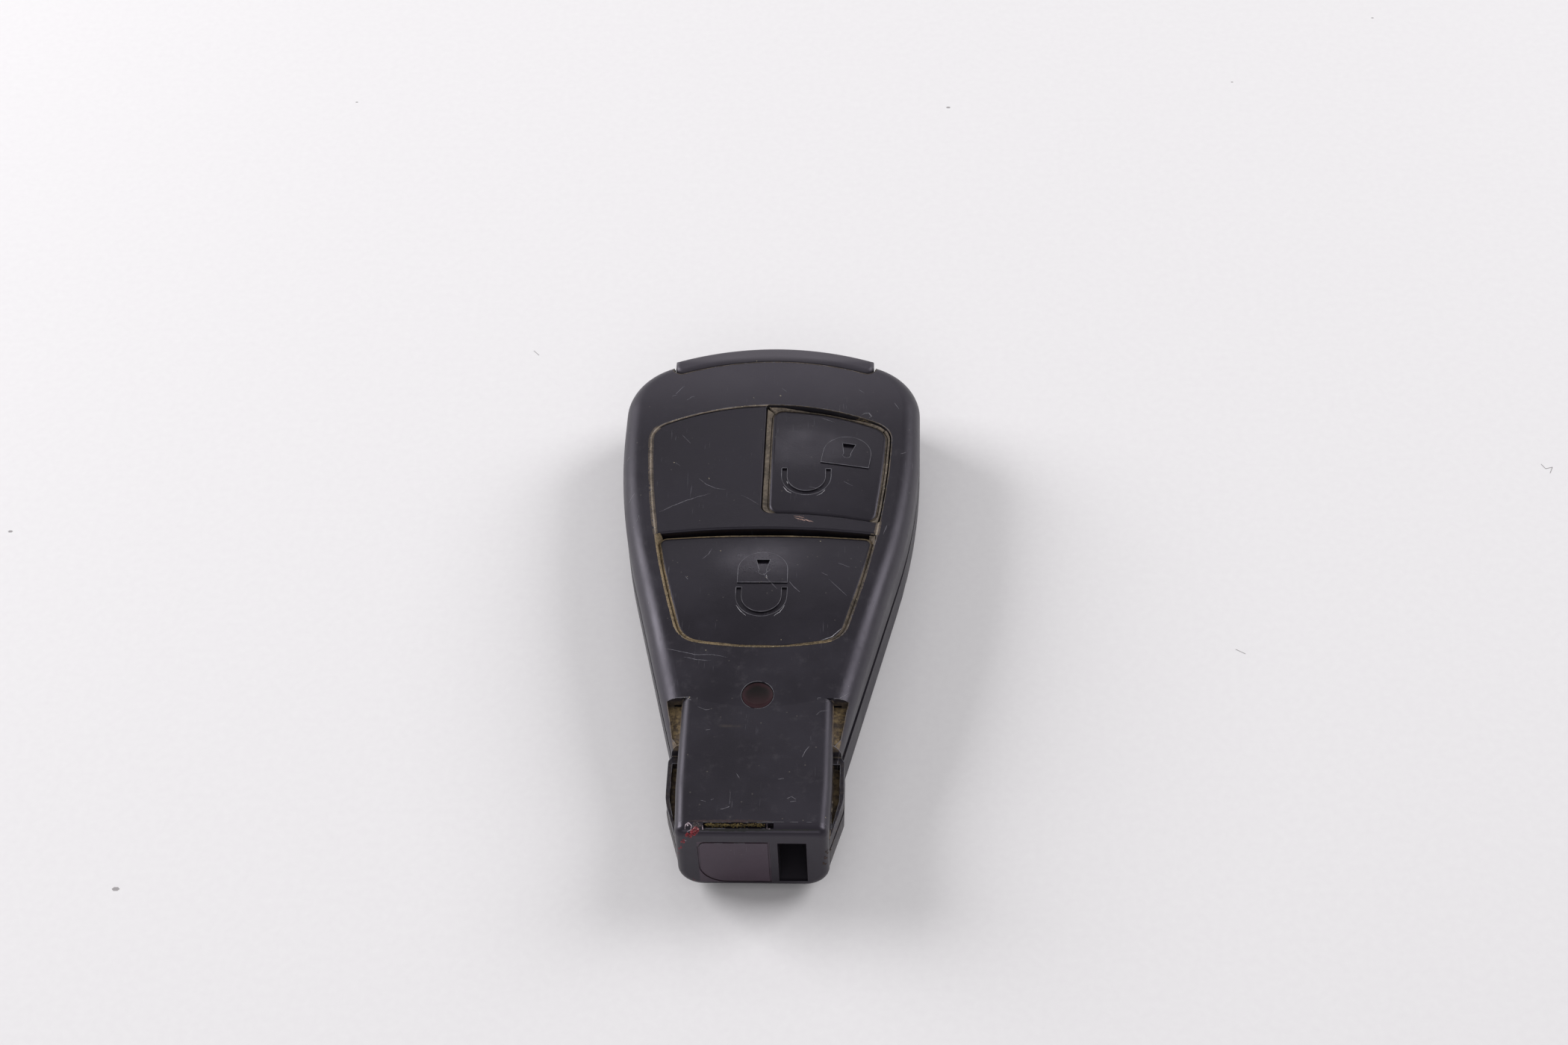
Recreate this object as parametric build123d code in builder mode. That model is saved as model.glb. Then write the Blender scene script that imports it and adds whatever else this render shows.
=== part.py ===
from build123d import *
from math import atan, cos, radians, sin, sqrt, tan
import os

os.makedirs("parts", exist_ok=True)

# Frame: the key rests on its back, the buttons face +Z, the nose points along -Y.
# The origin lies under the middle of the key, on the surface that it rests on.

# Overall size
key_length = 87.6
key_half_width = 21.5
key_height = 14.2
overrun = 2.0
quarter_turn = 90.0

# Running gaps
seam_gap = 0.2
pad_gap = 0.35
slide_gap = 0.4
snug_gap = 0.05
cover_gap = 0.2

# Body outline, right half
end_arc_radius = 45.0
corner_radius = 9.5
flank_vertex_y = 14.7
flank_blend_radius = 115.0
nose_reach = 14.7
shoulder_half_width = 11.1632

# Casing walls
shell_wall = 1.6
back_wall = 1.2
front_edge_radius = 2.8
back_edge_radius = 2.6
lip_thickness = 0.9
lip_low_z = 4.6
lip_high_z = 9.6

# Crown of the front face
crown_across_radius = 275.0
crown_nose_radius = 235.0
crown_apex_y = -1.0
crown_end_slope_degrees = 1.0

# Parting gap between the two casings, as heights along the flank
gap_low_z = 6.4
gap_high_z = 6.9
gap_level_y = 20.0
gap_shoulder_low_z = 7.2
gap_shoulder_high_z = 8.8
gap_nose_low_z = 6.6
gap_nose_high_z = 7.2

# Nose
nose_top_z = 13.1
nose_bottom_z = 0.8
nose_half_width = 10.1
nose_tip_half_width = 9.8
nose_top_radius = 1.4
nose_bottom_radius = 3.3
nose_wall = 1.5
nose_floor = 1.3
nose_root_reach = 25.8
window_reach = 1.6

# Wings beside the nose
wing_half_width = 11.6
wing_start_x = 11.1
wing_shoulder_drop = 0.8
wing_bend_reach = 7.6
wing_end_half_width = 9.9
wing_top_z = 9.3
wing_bottom_radius = 3.4
wing_shoulder_radius = 0.8
wing_bend_radius = 8.0
wing_rim = 0.55
wing_trough_z = 8.1
wing_trough_drop = 1.2
wing_trough_reach = 3.2

# Shoulder pockets
pocket_far_reach = 6.9
pocket_outer_x = 12.05
pocket_inner_x = 8.0
pocket_near_reach = 1.4
pocket_near_x = 11.1
pocket_tip_x = 10.35
pocket_tip_reach = 0.1
pocket_floor_z = 11.0
pocket_base_z = 10.0
pocket_overlap = 0.8

# Nose window, its key slot and the groove above it
slot_low_x = 3.3
slot_high_x = 7.0
slot_low_z = 2.2
slot_high_z = 10.6
slot_depth = 12.5
socket_wall = 0.8
window_edge_radius = 1.1
window_rim_x = 2.3
window_rim_low_z = 1.9
window_rim_high_z = 10.8
window_rim_far_x = -7.0
window_rim_radius = 3.5
window_rim_small_radius = 1.2
window_rim_width = 0.25
window_rim_depth = 0.15
window_plug = 2.0
groove_left_x = -6.1
groove_right_x = 2.9
groove_low_reach = 0.6
groove_high_reach = 1.45
groove_depth = 0.9

# Recess for the buttons
recess_top_y = 31.57
recess_top_radius = 37.0
recess_side_rim = 4.0
recess_top_corner_radius = 3.5
recess_side_radius = 150.0
recess_bottom_y = -14.1
recess_bottom_radius = 43.0
recess_bottom_corner_x = 11.1
recess_bottom_corner_radius = 4.0

# Seams between the buttons
panel_edge_y = 7.1
panel_edge_radius = 160.0
lock_edge_y = 6.45
lock_edge_radius = 260.0
strip_top_y = 10.1
strip_top_radius = 82.0
panel_side_x = -0.8
unlock_side_x = 0.15
unlock_side_gap = 0.7
unlock_low_gap = 0.3
opening_corner_radius = 1.4
button_corner_radius = 1.5
button_edge_radius = 0.55
panel_rim_radius = 0.3
lock_corner_radius = 1.2

# Button caps
flange_low_z = 10.5
flange_thickness = 0.8
flange_reach = 0.6
lock_arch_radius = 62.0
unlock_arch_radius = 105.0
lock_crest_y = -3.8
unlock_crest_y = 18.6
lock_crest_z = 14.05
unlock_crest_z = 13.85
panel_drop = 0.05
panel_foot_radius = 1.0
panel_foot_far_rim = 3.3
panel_foot_far_y = 25.0
panel_foot_near_rim = 4.3
panel_foot_near_y = 10.5
panel_foot_strip_rim = 4.2
panel_foot_strip_y = 7.7

# Padlock pictograms
icon_half_width = 3.45
icon_side = 2.3
icon_relief = 0.15
icon_groove_depth = 0.25
icon_line = 0.75
shackle_radius = 3.12
shackle_leg = 1.5
keyhole_top_width = 1.9
keyhole_low_width = 0.8
keyhole_top_y = 4.3
keyhole_low_y = 2.0
keyhole_foot_radius = 0.55
lock_icon_x = -0.1
lock_icon_y = -3.0
lock_shackle_x = -0.15
lock_shackle_y = -5.25
unlock_icon_rim = 6.75
unlock_icon_y = 19.45
unlock_icon_degrees = -8.0
unlock_shackle_reach = 5.4
unlock_shackle_y = 17.25

# Light pipe
lens_place_share = 0.518
lens_radius = 2.05
lens_gap = 0.1
lens_flange_radius = 2.7
lens_flange_low_z = 10.7
lens_flange_high_z = 11.5
lens_low_z = 9.5
lens_dish_radius = 9.0
lens_dish_depth = 0.25

# Crescent bar, the outer end of the emergency key
bar_side_reach = 6.8
bar_reach = 2.8
bar_inner_radius = 42.0
bar_low_z = 0.3
bar_edge_radius = 0.8
bar_corner_radius = 1.2
notch_end_gap = 0.3
notch_reach = 3.2
notch_corner_radius = 1.3
notch_wall = 1.6

# Tongue of the emergency key and the slot that it slides in
tongue_half_width = 5.4
tongue_reach = 7.6
tongue_high_z = 8.2
tail_half_width = 4.6
tail_length = 1.4
tail_low_z = 1.5
tail_high_z = 4.4
ring_hole_radius = 1.5
ring_hole_corner = 4.6
ring_hole_degrees = 45.0
ring_hole_reach = 8.0
blade_gap = 0.05

# Blade
blade_width = 7.0
blade_thickness = 2.2
blade_low_z = 4.75
blade_root_reach = 3.8
blade_tip_reach = 25.8
blade_tip_taper = 2.2
track_width = 1.7
track_depth = 0.7
track_swing = 0.9
track_pitch = 7.5
track_count = 6
track_radius = 1.6

# Coin cells
cell_radius = 10.0
cell_height = 2.5
cell_low_z = 1.5
cell_edge_radius = 0.3
cell_gap = 0.2
cell_tail_reach = 12.2
cell_septum = 0.4
cell_cap_radius = 8.9
cell_step = 0.2

# Battery cover
cover_half_width = 11.5
cover_margin = 1.2
cover_low_z = 0.1
cover_thickness = 0.9
cover_grip_width = 8.0
cover_grip_rib = 0.6
cover_grip_depth = 0.35
cover_grip_count = 5
cover_grip_pitch = 1.2
link_low_reach = 5.8
link_high_reach = 5.4
link_relief_reach = 14.6
link_relief = 8.0
link_width = 4.0
link_thickness = 0.3

# Chassis between the cells and the board
frame_inset = 3.1
frame_half_width = 13.2
frame_high_z = 7.3
frame_low_reach = 8.1
frame_block_low_margin = 2.8
frame_block_high_margin = 0.8
frame_block_low_z = 1.2
frame_deck_low_z = 4.2
channel_gap = 0.3
channel_floor_z = 4.6
channel_end_gap = 1.5
frame_pocket_floor_z = 4.9
frame_pocket_low_x = 5.2
frame_pocket_high_x = 10.2
frame_pocket_first_reach = 5.0
frame_pocket_second_reach = 3.2
frame_pocket_length = 14.5

# Cell contacts
contact_thickness = 0.2
contact_width = 2.0
contact_leg_x = 11.0
contact_slot_gap = 0.2
contact_finger_low_x = 5.4

# Circuit board and what is on it
board_thickness = 1.0
board_inset = 3.1
board_high_gap = 0.6
board_low_reach = 5.1
board_tongue_low_x = -8.2
board_tongue_high_x = 2.0
board_tongue_reach = 6.3
switch_side = 6.0
switch_height = 1.6
switch_plunger_radius = 0.9
switch_plunger_low_z = 9.4
switch_wall_floor = 0.3
switch_lid = 0.2
switch_bore_radius = 1.2
switch_well_radius = 2.3
disc_radius = 1.9
disc_thickness = 0.15
disc_rise = 0.6
lock_switch_x = 0.0
lock_switch_y = -3.5
unlock_switch_rim = 9.1
unlock_switch_y = 20.0
chip_side = 7.0
chip_height = 1.1
chip_x = -9.0
chip_y = 18.0
chip_leg = 0.35
chip_leg_reach = 0.8
chip_leg_count = 8
chip_leg_pitch = 0.8
resonator_length = 5.0
resonator_width = 3.2
resonator_height = 1.0
resonator_x = -9.5
resonator_y = 4.0
resonator_radius = 0.6
light_length = 2.0
light_width = 1.25
light_height = 0.8
infrared_radius = 1.45
infrared_length = 3.4
infrared_left_x = -5.6
infrared_right_x = -1.3
infrared_z = 9.85
infrared_reach = 7.6
coil_radius = 2.2
coil_length = 6.0
core_radius = 1.3
core_length = 8.4
coil_x = -3.3
coil_reach = 10.8
coil_z = 5.05

# Rubber sheet under the buttons
sheet_inset = 1.9
sheet_thickness = 0.3
sheet_high_reach = 1.43
sheet_lens_reach = 5.37
sheet_hole_gap = 0.35

# Posts of the front casing that hold the board down
post_radius = 1.2
post_far_x = 11.0
post_far_reach = 2.73
post_near_x = 7.0
post_near_reach = 2.27

# Release catch of the emergency key
tab_low_reach = 1.0
tab_width = 2.1
tab_start_x = -6.5
tab_length = 6.1
tab_low_z = 1.3
tab_high_z = 2.8
bolt_low_reach = 0.1
bolt_high_reach = 0.9
bolt_gap = 0.15
tab_travel = 2.0
thumb_reach = 1.1
thumb_length = 2.8
thumb_half_width = 0.6
thumb_low_z = 0.3
thumb_window_gap = 0.2
spring_wire_radius = 0.14
spring_radius = 0.62
spring_turns = 4
spring_length = 3.3
spring_stop_width = 1.4

# Worked out from the sizes above
end_y = key_length / 2
nose_end_y = -key_length / 2
shoulder_y = nose_end_y + nose_reach
nose_root_y = nose_end_y + nose_root_reach
window_seam_y = nose_end_y + window_reach
wing_shoulder_y = shoulder_y - wing_shoulder_drop
wing_bend_y = nose_end_y + wing_bend_reach
wing_trough_start_y = shoulder_y - wing_trough_drop
wing_trough_end_y = nose_end_y + wing_trough_reach
pocket_far_y = shoulder_y + pocket_far_reach
pocket_near_y = shoulder_y + pocket_near_reach
pocket_tip_y = shoulder_y + pocket_tip_reach
groove_low_y = nose_end_y + groove_low_reach
groove_high_y = nose_end_y + groove_high_reach
lens_y = recess_bottom_y - (recess_bottom_y - shoulder_y) * lens_place_share
flank_slope = (key_half_width - shoulder_half_width) / (flank_vertex_y - shoulder_y)
recess_top_corner_x = key_half_width - recess_side_rim
bar_half_length = key_half_width - bar_side_reach
bar_inner_y = end_y - bar_reach
notch_half_length = bar_half_length + notch_end_gap
notch_inner_y = end_y - notch_reach
tongue_start_y = end_y - tongue_reach
tail_start_y = tongue_start_y - tail_length
blade_root_y = end_y - blade_root_reach
blade_tip_y = nose_end_y + blade_tip_reach
cell_spacing = 2 * (cell_radius + cell_gap) + cell_septum
cell_near_ring_y = tail_start_y - cell_tail_reach
cell_near_nose_y = cell_near_ring_y - cell_spacing
cover_high_y = cell_near_ring_y + cell_radius + cover_margin
cover_low_y = cell_near_nose_y - cell_radius - cover_margin
link_low_y = cell_near_nose_y - link_low_reach
link_high_y = cell_near_ring_y + link_high_reach
link_relief_low_y = cell_near_ring_y - link_relief_reach
frame_high_y = tail_start_y - slide_gap
frame_low_y = shoulder_y + frame_low_reach
frame_block_low_y = cell_near_nose_y - cell_radius - frame_block_low_margin
frame_block_high_y = cell_near_ring_y + cell_radius + frame_block_high_margin
channel_end_y = blade_tip_y - channel_end_gap
frame_pocket_first_y = frame_low_y + frame_pocket_first_reach
frame_pocket_second_y = cell_near_nose_y + frame_pocket_second_reach
board_high_y = tongue_start_y - board_high_gap
board_low_y = shoulder_y + board_low_reach
board_tongue_end_y = nose_end_y + board_tongue_reach
unlock_switch_x = recess_top_corner_x - unlock_switch_rim
unlock_icon_x = recess_top_corner_x - unlock_icon_rim
unlock_shackle_x = unlock_icon_x - unlock_shackle_reach
infrared_start_y = nose_end_y + infrared_reach
coil_y = nose_end_y + coil_reach
sheet_high_y = recess_top_y + sheet_high_reach
sheet_low_y = lens_y + sheet_lens_reach
post_far_y = recess_top_y + post_far_reach
post_near_y = lens_y + post_near_reach
tab_low_y = tail_start_y - tab_low_reach
tab_high_y = tab_low_y + tab_width
tab_end_x = tab_start_x - tab_length
bolt_low_y = tail_start_y + bolt_low_reach
bolt_high_y = tail_start_y + bolt_high_reach
thumb_low_x = tab_end_x + thumb_reach
thumb_high_x = thumb_low_x + thumb_length
thumb_low_y = tail_start_y - thumb_half_width
thumb_high_y = tail_start_y + thumb_half_width
spring_y = tail_start_y
panel_foot_far_x = panel_foot_far_rim - recess_top_corner_x
panel_foot_near_x = panel_foot_near_rim - recess_top_corner_x
panel_foot_strip_x = recess_top_corner_x - panel_foot_strip_rim
tilt = radians(crown_end_slope_degrees)
crown_line_y = crown_apex_y + crown_nose_radius * sin(tilt)
recess_top_corner_y = recess_top_y - recess_top_radius + sqrt(
    recess_top_radius**2 - recess_top_corner_x**2
)
recess_bottom_corner_y = recess_bottom_y + recess_bottom_radius - sqrt(
    recess_bottom_radius**2 - recess_bottom_corner_x**2
)
board_top_z = frame_high_z + board_thickness
flange_high_z = flange_low_z + flange_thickness
cover_high_z = cover_low_z + cover_thickness


def crown_height(x, y, drop):
    """Height of the crowned front face at a place, lowered by drop."""
    reach = y - crown_apex_y
    if y < crown_line_y:
        along = crown_nose_radius - sqrt(crown_nose_radius**2 - reach**2)
    else:
        along = crown_nose_radius * (1 - cos(tilt)) + (y - crown_line_y) * tan(tilt)
    spine = crown_across_radius - along
    return key_height - drop - crown_across_radius + sqrt(spine**2 - x**2)


def crown_block(drop):
    """All that lies under the crowned front face, lowered by drop."""
    apex = key_height - drop
    axle_z = apex - crown_across_radius
    far_y = end_y + overrun
    near_y = nose_end_y - overrun
    arc_end = crown_line_y
    arc_end_z = apex - crown_nose_radius * (1 - cos(tilt))
    near_reach = near_y - crown_apex_y
    near_z = apex - crown_nose_radius + sqrt(crown_nose_radius**2 - near_reach**2)
    far_z = arc_end_z - (far_y - arc_end) * tan(tilt)
    with BuildPart() as block:
        with BuildSketch(Plane.YZ):
            with BuildLine():
                ThreePointArc((near_y, near_z), (crown_apex_y, apex), (arc_end, arc_end_z))
                Line((arc_end, arc_end_z), (far_y, far_z))
                Line((far_y, far_z), (far_y, axle_z))
                Line((far_y, axle_z), (near_y, axle_z))
                Line((near_y, axle_z), (near_y, near_z))
            make_face()
        revolve(axis=Axis((0, 0, axle_z), (0, 1, 0)))
    return block.part


def cap_block(face, lift):
    """All that lies under an arched button face, given as (crest y, crest z, radius), raised by lift."""
    crest_y, face_z, arch_radius = face
    crest_z = face_z + lift
    axle_z = crest_z - crown_across_radius
    reach = arch_radius / 2
    edge_z = crest_z - arch_radius + sqrt(arch_radius**2 - reach**2)
    low_y = crest_y - reach
    high_y = crest_y + reach
    with BuildPart() as block:
        with BuildSketch(Plane.YZ):
            with BuildLine():
                ThreePointArc((low_y, edge_z), (crest_y, crest_z), (high_y, edge_z))
                Line((high_y, edge_z), (high_y, axle_z))
                Line((high_y, axle_z), (low_y, axle_z))
                Line((low_y, axle_z), (low_y, edge_z))
            make_face()
        revolve(axis=Axis((0, 0, axle_z), (0, 1, 0)))
    return block.part


def body_plan(inset):
    """The body's outline seen from the front, drawn in by inset."""
    arc_centre_y = end_y - end_arc_radius
    corner_y = arc_centre_y + sqrt(end_arc_radius**2 - key_half_width**2)
    side_length = corner_y - corner_radius - flank_vertex_y
    blend_radius = min(flank_blend_radius, side_length / tan(atan(flank_slope) / 2))
    with BuildSketch() as plan:
        with BuildLine():
            RadiusArc((0, end_y), (key_half_width, corner_y), end_arc_radius)
            Line((key_half_width, corner_y), (key_half_width, flank_vertex_y))
            Line((key_half_width, flank_vertex_y), (shoulder_half_width, shoulder_y))
            Line((shoulder_half_width, shoulder_y), (0, shoulder_y))
            mirror(about=Plane.YZ)
        make_face()
        corners = plan.vertices().filter_by(lambda v: v.Y > flank_vertex_y and abs(v.X) > corner_radius)
        fillet(corners, corner_radius)
        bends = plan.vertices().filter_by(lambda v: abs(v.Y - flank_vertex_y) < snug_gap)
        fillet(bends, blend_radius)
        if inset:
            offset(amount=-inset)
    return plan.sketch


def cavity_plan(inset):
    """The hollow of the casings, closed behind the crescent bar."""
    body = body_plan(shell_wall + inset)
    wall_y = notch_inner_y - notch_wall - inset
    with BuildSketch() as plan:
        add(body)
        with Locations((0, wall_y - bar_inner_radius)):
            Circle(bar_inner_radius, mode=Mode.INTERSECT)
    return plan.sketch


def recess_plan(inset):
    """The recess that the buttons sit in, drawn in by inset."""
    with BuildSketch() as plan:
        with BuildLine():
            RadiusArc((0, recess_top_y), (recess_top_corner_x, recess_top_corner_y), recess_top_radius)
            RadiusArc(
                (recess_top_corner_x, recess_top_corner_y),
                (recess_bottom_corner_x, recess_bottom_corner_y),
                recess_side_radius,
            )
            RadiusArc(
                (recess_bottom_corner_x, recess_bottom_corner_y),
                (0, recess_bottom_y),
                recess_bottom_radius,
            )
            mirror(about=Plane.YZ)
        make_face()
        high = plan.vertices().filter_by(
            lambda v: v.Y > flank_vertex_y and abs(v.X) > recess_top_corner_radius
        )
        fillet(high, recess_top_corner_radius)
        low = plan.vertices().filter_by(
            lambda v: v.Y < 0 and abs(v.X) > recess_bottom_corner_radius
        )
        fillet(low, recess_bottom_corner_radius)
        if inset:
            offset(amount=-inset)
    return plan.sketch


def panel_plan(inset):
    """The L shaped blank panel, drawn in from the recess by inset."""
    recess = recess_plan(inset)
    opening_x = key_half_width - panel_side_x
    with BuildSketch() as opening:
        with Locations((panel_side_x, strip_top_y)):
            Rectangle(opening_x, key_half_width, align=(Align.MIN, Align.CENTER))
        with Locations((0, strip_top_y - strip_top_radius)):
            Circle(strip_top_radius, mode=Mode.SUBTRACT)
        corner = opening.vertices().group_by(Axis.X)[0].sort_by(Axis.Y)[0]
        fillet(corner, opening_corner_radius)
    with BuildSketch() as rest:
        with Locations((panel_side_x, strip_top_y + opening_corner_radius)):
            Rectangle(opening_x, end_y, align=(Align.MIN, Align.MIN))
    with BuildSketch() as plan:
        add(recess)
        with Locations((0, panel_edge_y - panel_edge_radius)):
            Circle(panel_edge_radius, mode=Mode.SUBTRACT)
        add(opening.sketch, mode=Mode.SUBTRACT)
        add(rest.sketch, mode=Mode.SUBTRACT)
    return plan.sketch


def unlock_plan(inset, rounding):
    """The unlock button, drawn in from the recess by inset."""
    recess = recess_plan(inset)
    with BuildSketch() as plan:
        add(recess)
        with Locations((unlock_side_x, 0)):
            Rectangle(2 * key_half_width, key_length, align=(Align.MAX, Align.CENTER), mode=Mode.SUBTRACT)
        with Locations((0, strip_top_y - strip_top_radius)):
            Circle(strip_top_radius + unlock_low_gap, mode=Mode.SUBTRACT)
        if rounding:
            left = plan.vertices().group_by(Axis.X)[0]
            fillet(left, rounding)
            low_right = plan.vertices().sort_by(Axis.Y)[0]
            fillet(low_right, rounding)
    return plan.sketch


def lock_plan(inset, rounding):
    """The lock button, drawn in from the recess by inset."""
    recess = recess_plan(inset)
    with BuildSketch() as plan:
        add(recess)
        with Locations((0, lock_edge_y - lock_edge_radius)):
            Circle(lock_edge_radius, mode=Mode.INTERSECT)
        if rounding:
            ends = plan.vertices().filter_by(lambda v: v.Y > 0 and abs(v.X) > cell_radius)
            fillet(ends, rounding)
    return plan.sketch


def nose_section(y, half_width, top_z, top_radius, bottom_radius):
    """A section across the nose, with rounded corners."""
    with BuildSketch(Plane.XZ.offset(-y)) as section:
        with BuildLine():
            Polyline(
                (half_width, nose_bottom_z),
                (half_width, top_z),
                (-half_width, top_z),
                (-half_width, nose_bottom_z),
                close=True,
            )
        make_face()
        if top_radius:
            fillet(section.vertices().group_by(Axis.Y)[-1], top_radius)
        fillet(section.vertices().group_by(Axis.Y)[0], bottom_radius)
    return section.sketch


def nose_run(places, top_z, top_radius):
    """A run of the nose through sections given as (y, half width, lower radius)."""
    sections = [nose_section(y, half, top_z, top_radius, radius) for y, half, radius in places]
    with BuildPart() as run:
        for index in range(len(sections) - 1):
            loft(sections=sections[index : index + 2], ruled=True)
    return run.part


def wing_plan():
    """Outline of the wings beside the nose."""
    with BuildSketch() as plan:
        with BuildLine():
            Polyline(
                (0, shoulder_y + overrun),
                (nose_half_width, shoulder_y + overrun),
                (nose_half_width, shoulder_y),
                (wing_start_x, shoulder_y),
                (wing_half_width, wing_shoulder_y),
                (wing_half_width, wing_bend_y),
                (wing_end_half_width, window_seam_y),
                (0, window_seam_y),
            )
            mirror(about=Plane.YZ)
        make_face()
        shoulders = plan.vertices().filter_by(lambda v: abs(v.Y - wing_shoulder_y) < snug_gap)
        fillet(shoulders, wing_shoulder_radius)
        bends = plan.vertices().filter_by(lambda v: abs(v.Y - wing_bend_y) < snug_gap)
        fillet(bends, wing_bend_radius)
    return plan.sketch


def pocket_plan(overlap):
    """The pockets beside the nose, their far ends moved by overlap."""
    with BuildSketch() as plan:
        with BuildLine():
            Polyline(
                (pocket_inner_x, pocket_far_y + overlap),
                (pocket_outer_x, pocket_far_y + overlap),
                (pocket_near_x, pocket_near_y),
                (pocket_tip_x, pocket_tip_y),
                (pocket_inner_x, pocket_tip_y),
                close=True,
            )
        make_face()
        mirror(about=Plane.YZ)
    return plan.sketch


def side_prism(points):
    """A prism across the whole key, from a side view of (y, z) points."""
    with BuildPart() as prism:
        with BuildSketch(Plane.YZ):
            with BuildLine():
                Polyline(*points, close=True)
            make_face()
        extrude(amount=key_half_width + overrun, both=True)
    return prism.part


def notch_prism():
    """The notch in the casings that the crescent bar fills."""
    with BuildPart() as prism:
        with BuildSketch(Plane.XY.offset(-overrun)) as plan:
            with Locations((0, end_y)):
                Rectangle(2 * notch_half_length, 2 * corner_radius)
            with Locations((0, notch_inner_y - bar_inner_radius)):
                Circle(bar_inner_radius, mode=Mode.SUBTRACT)
            fillet(plan.vertices().group_by(Axis.Y)[0], notch_corner_radius)
        extrude(amount=key_height + 2 * overrun)
    return prism.part


body_outer = body_plan(0)
crown_outer = crown_block(0)
crown_inner = crown_block(shell_wall)
crown_panel = crown_block(panel_drop)
wing_outer = wing_plan()
hollow = cavity_plan(0)
recess = recess_plan(0)
notch = notch_prism()
far_edge = end_y + overrun
near_edge = nose_end_y - overrun
under_front = side_prism(
    [
        (far_edge, -overrun),
        (far_edge, gap_high_z),
        (gap_level_y, gap_high_z),
        (shoulder_y + wing_rim, gap_shoulder_high_z),
        (shoulder_y - wing_rim, gap_nose_high_z),
        (near_edge, gap_nose_high_z),
        (near_edge, -overrun),
    ]
)
over_back = side_prism(
    [
        (far_edge, key_height + overrun),
        (far_edge, gap_low_z),
        (gap_level_y, gap_low_z),
        (shoulder_y, gap_shoulder_low_z),
        (shoulder_y - wing_rim, gap_nose_low_z),
        (near_edge, gap_nose_low_z),
        (near_edge, key_height + overrun),
    ]
)


def hollow_block(low_z, crown):
    """The hollow of the casings from a floor height up to a crown."""
    with BuildPart() as block:
        with BuildSketch(Plane.XY.offset(low_z)):
            add(hollow)
        extrude(amount=key_height)
        add(crown, mode=Mode.INTERSECT)
    return block.part


front_hollow = hollow_block(-overrun, crown_inner)
nose_upper = nose_run(
    (
        (nose_root_y, nose_half_width, nose_bottom_radius),
        (wing_bend_y, nose_half_width, nose_bottom_radius),
        (nose_end_y, nose_tip_half_width, nose_bottom_radius),
    ),
    nose_top_z,
    nose_top_radius,
)
nose_inner_half_width = nose_half_width - nose_wall
groove_y = (groove_low_y + groove_high_y) / 2
groove_width = groove_high_y - groove_low_y
groove_length = groove_right_x - groove_left_x
groove_x = (groove_left_x + groove_right_x) / 2

# Front casing
with BuildPart() as front_shell:
    with BuildSketch(Plane.XY):
        add(body_outer)
    extrude(amount=key_height)
    add(crown_outer, mode=Mode.INTERSECT)
    rim = front_shell.edges().filter_by(
        lambda e: e.center().Z > lip_high_z and abs(e.center().X) > lens_radius
    )
    fillet(rim, front_edge_radius)
    with BuildSketch(Plane.XY.offset(pocket_floor_z)):
        add(pocket_plan(0))
    extrude(amount=key_height - pocket_floor_z, mode=Mode.SUBTRACT)
    add(nose_upper)
    with BuildSketch(Plane.XY.offset(gap_nose_low_z)):
        add(wing_outer)
    extrude(amount=wing_top_z - gap_nose_low_z)
    with BuildSketch(Plane.XY.offset(wing_trough_z)):
        with BuildLine():
            Polyline(
                (nose_half_width, wing_trough_start_y),
                (wing_half_width - wing_rim, wing_trough_start_y),
                (wing_half_width - wing_rim, wing_bend_y),
                (nose_half_width, wing_trough_end_y),
                close=True,
            )
        make_face()
        mirror(about=Plane.YZ)
    extrude(amount=wing_top_z - wing_trough_z, mode=Mode.SUBTRACT)
    add(front_hollow, mode=Mode.SUBTRACT)
    with Locations((0, nose_root_y, -overrun)):
        Box(
            2 * nose_inner_half_width,
            nose_root_y - near_edge,
            nose_top_z - nose_wall + overrun,
            align=(Align.CENTER, Align.MAX, Align.MIN),
            mode=Mode.SUBTRACT,
        )
    with BuildSketch(Plane.XY.offset(pocket_base_z)):
        add(pocket_plan(pocket_overlap))
    extrude(amount=pocket_floor_z - pocket_base_z)
    add(under_front, mode=Mode.SUBTRACT)
    with Locations((0, window_seam_y, 0)):
        Box(
            2 * key_half_width,
            nose_reach,
            2 * key_height,
            align=(Align.CENTER, Align.MAX, Align.MIN),
            mode=Mode.SUBTRACT,
        )
    for side in (1, -1):
        for post_x, post_y in ((post_far_x, post_far_y), (post_near_x, post_near_y)):
            post_top = crown_height(post_x, post_y, shell_wall / 2)
            with Locations((side * post_x, post_y, board_top_z)):
                Cylinder(
                    post_radius,
                    post_top - board_top_z,
                    align=(Align.CENTER, Align.CENTER, Align.MIN),
                )
    add(notch, mode=Mode.SUBTRACT)
    with Locations((0, end_y, 0)):
        Box(
            2 * (tongue_half_width + slide_gap),
            2 * corner_radius,
            2 * (tongue_high_z + slide_gap),
            mode=Mode.SUBTRACT,
        )
    with BuildSketch(Plane.XY.offset(gap_high_z)):
        add(recess)
    extrude(amount=key_height, mode=Mode.SUBTRACT)
    with Locations((0, lens_y, gap_high_z)):
        Cylinder(
            lens_radius + lens_gap,
            key_height,
            align=(Align.CENTER, Align.CENTER, Align.MIN),
            mode=Mode.SUBTRACT,
        )
    with Locations((groove_x, groove_y, nose_top_z - groove_depth)):
        Box(
            groove_length,
            groove_width,
            key_height,
            align=(Align.CENTER, Align.CENTER, Align.MIN),
            mode=Mode.SUBTRACT,
        )
front_shell.part.label = "front_shell"
export_step(front_shell.part, "parts/front_shell.step")


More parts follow.
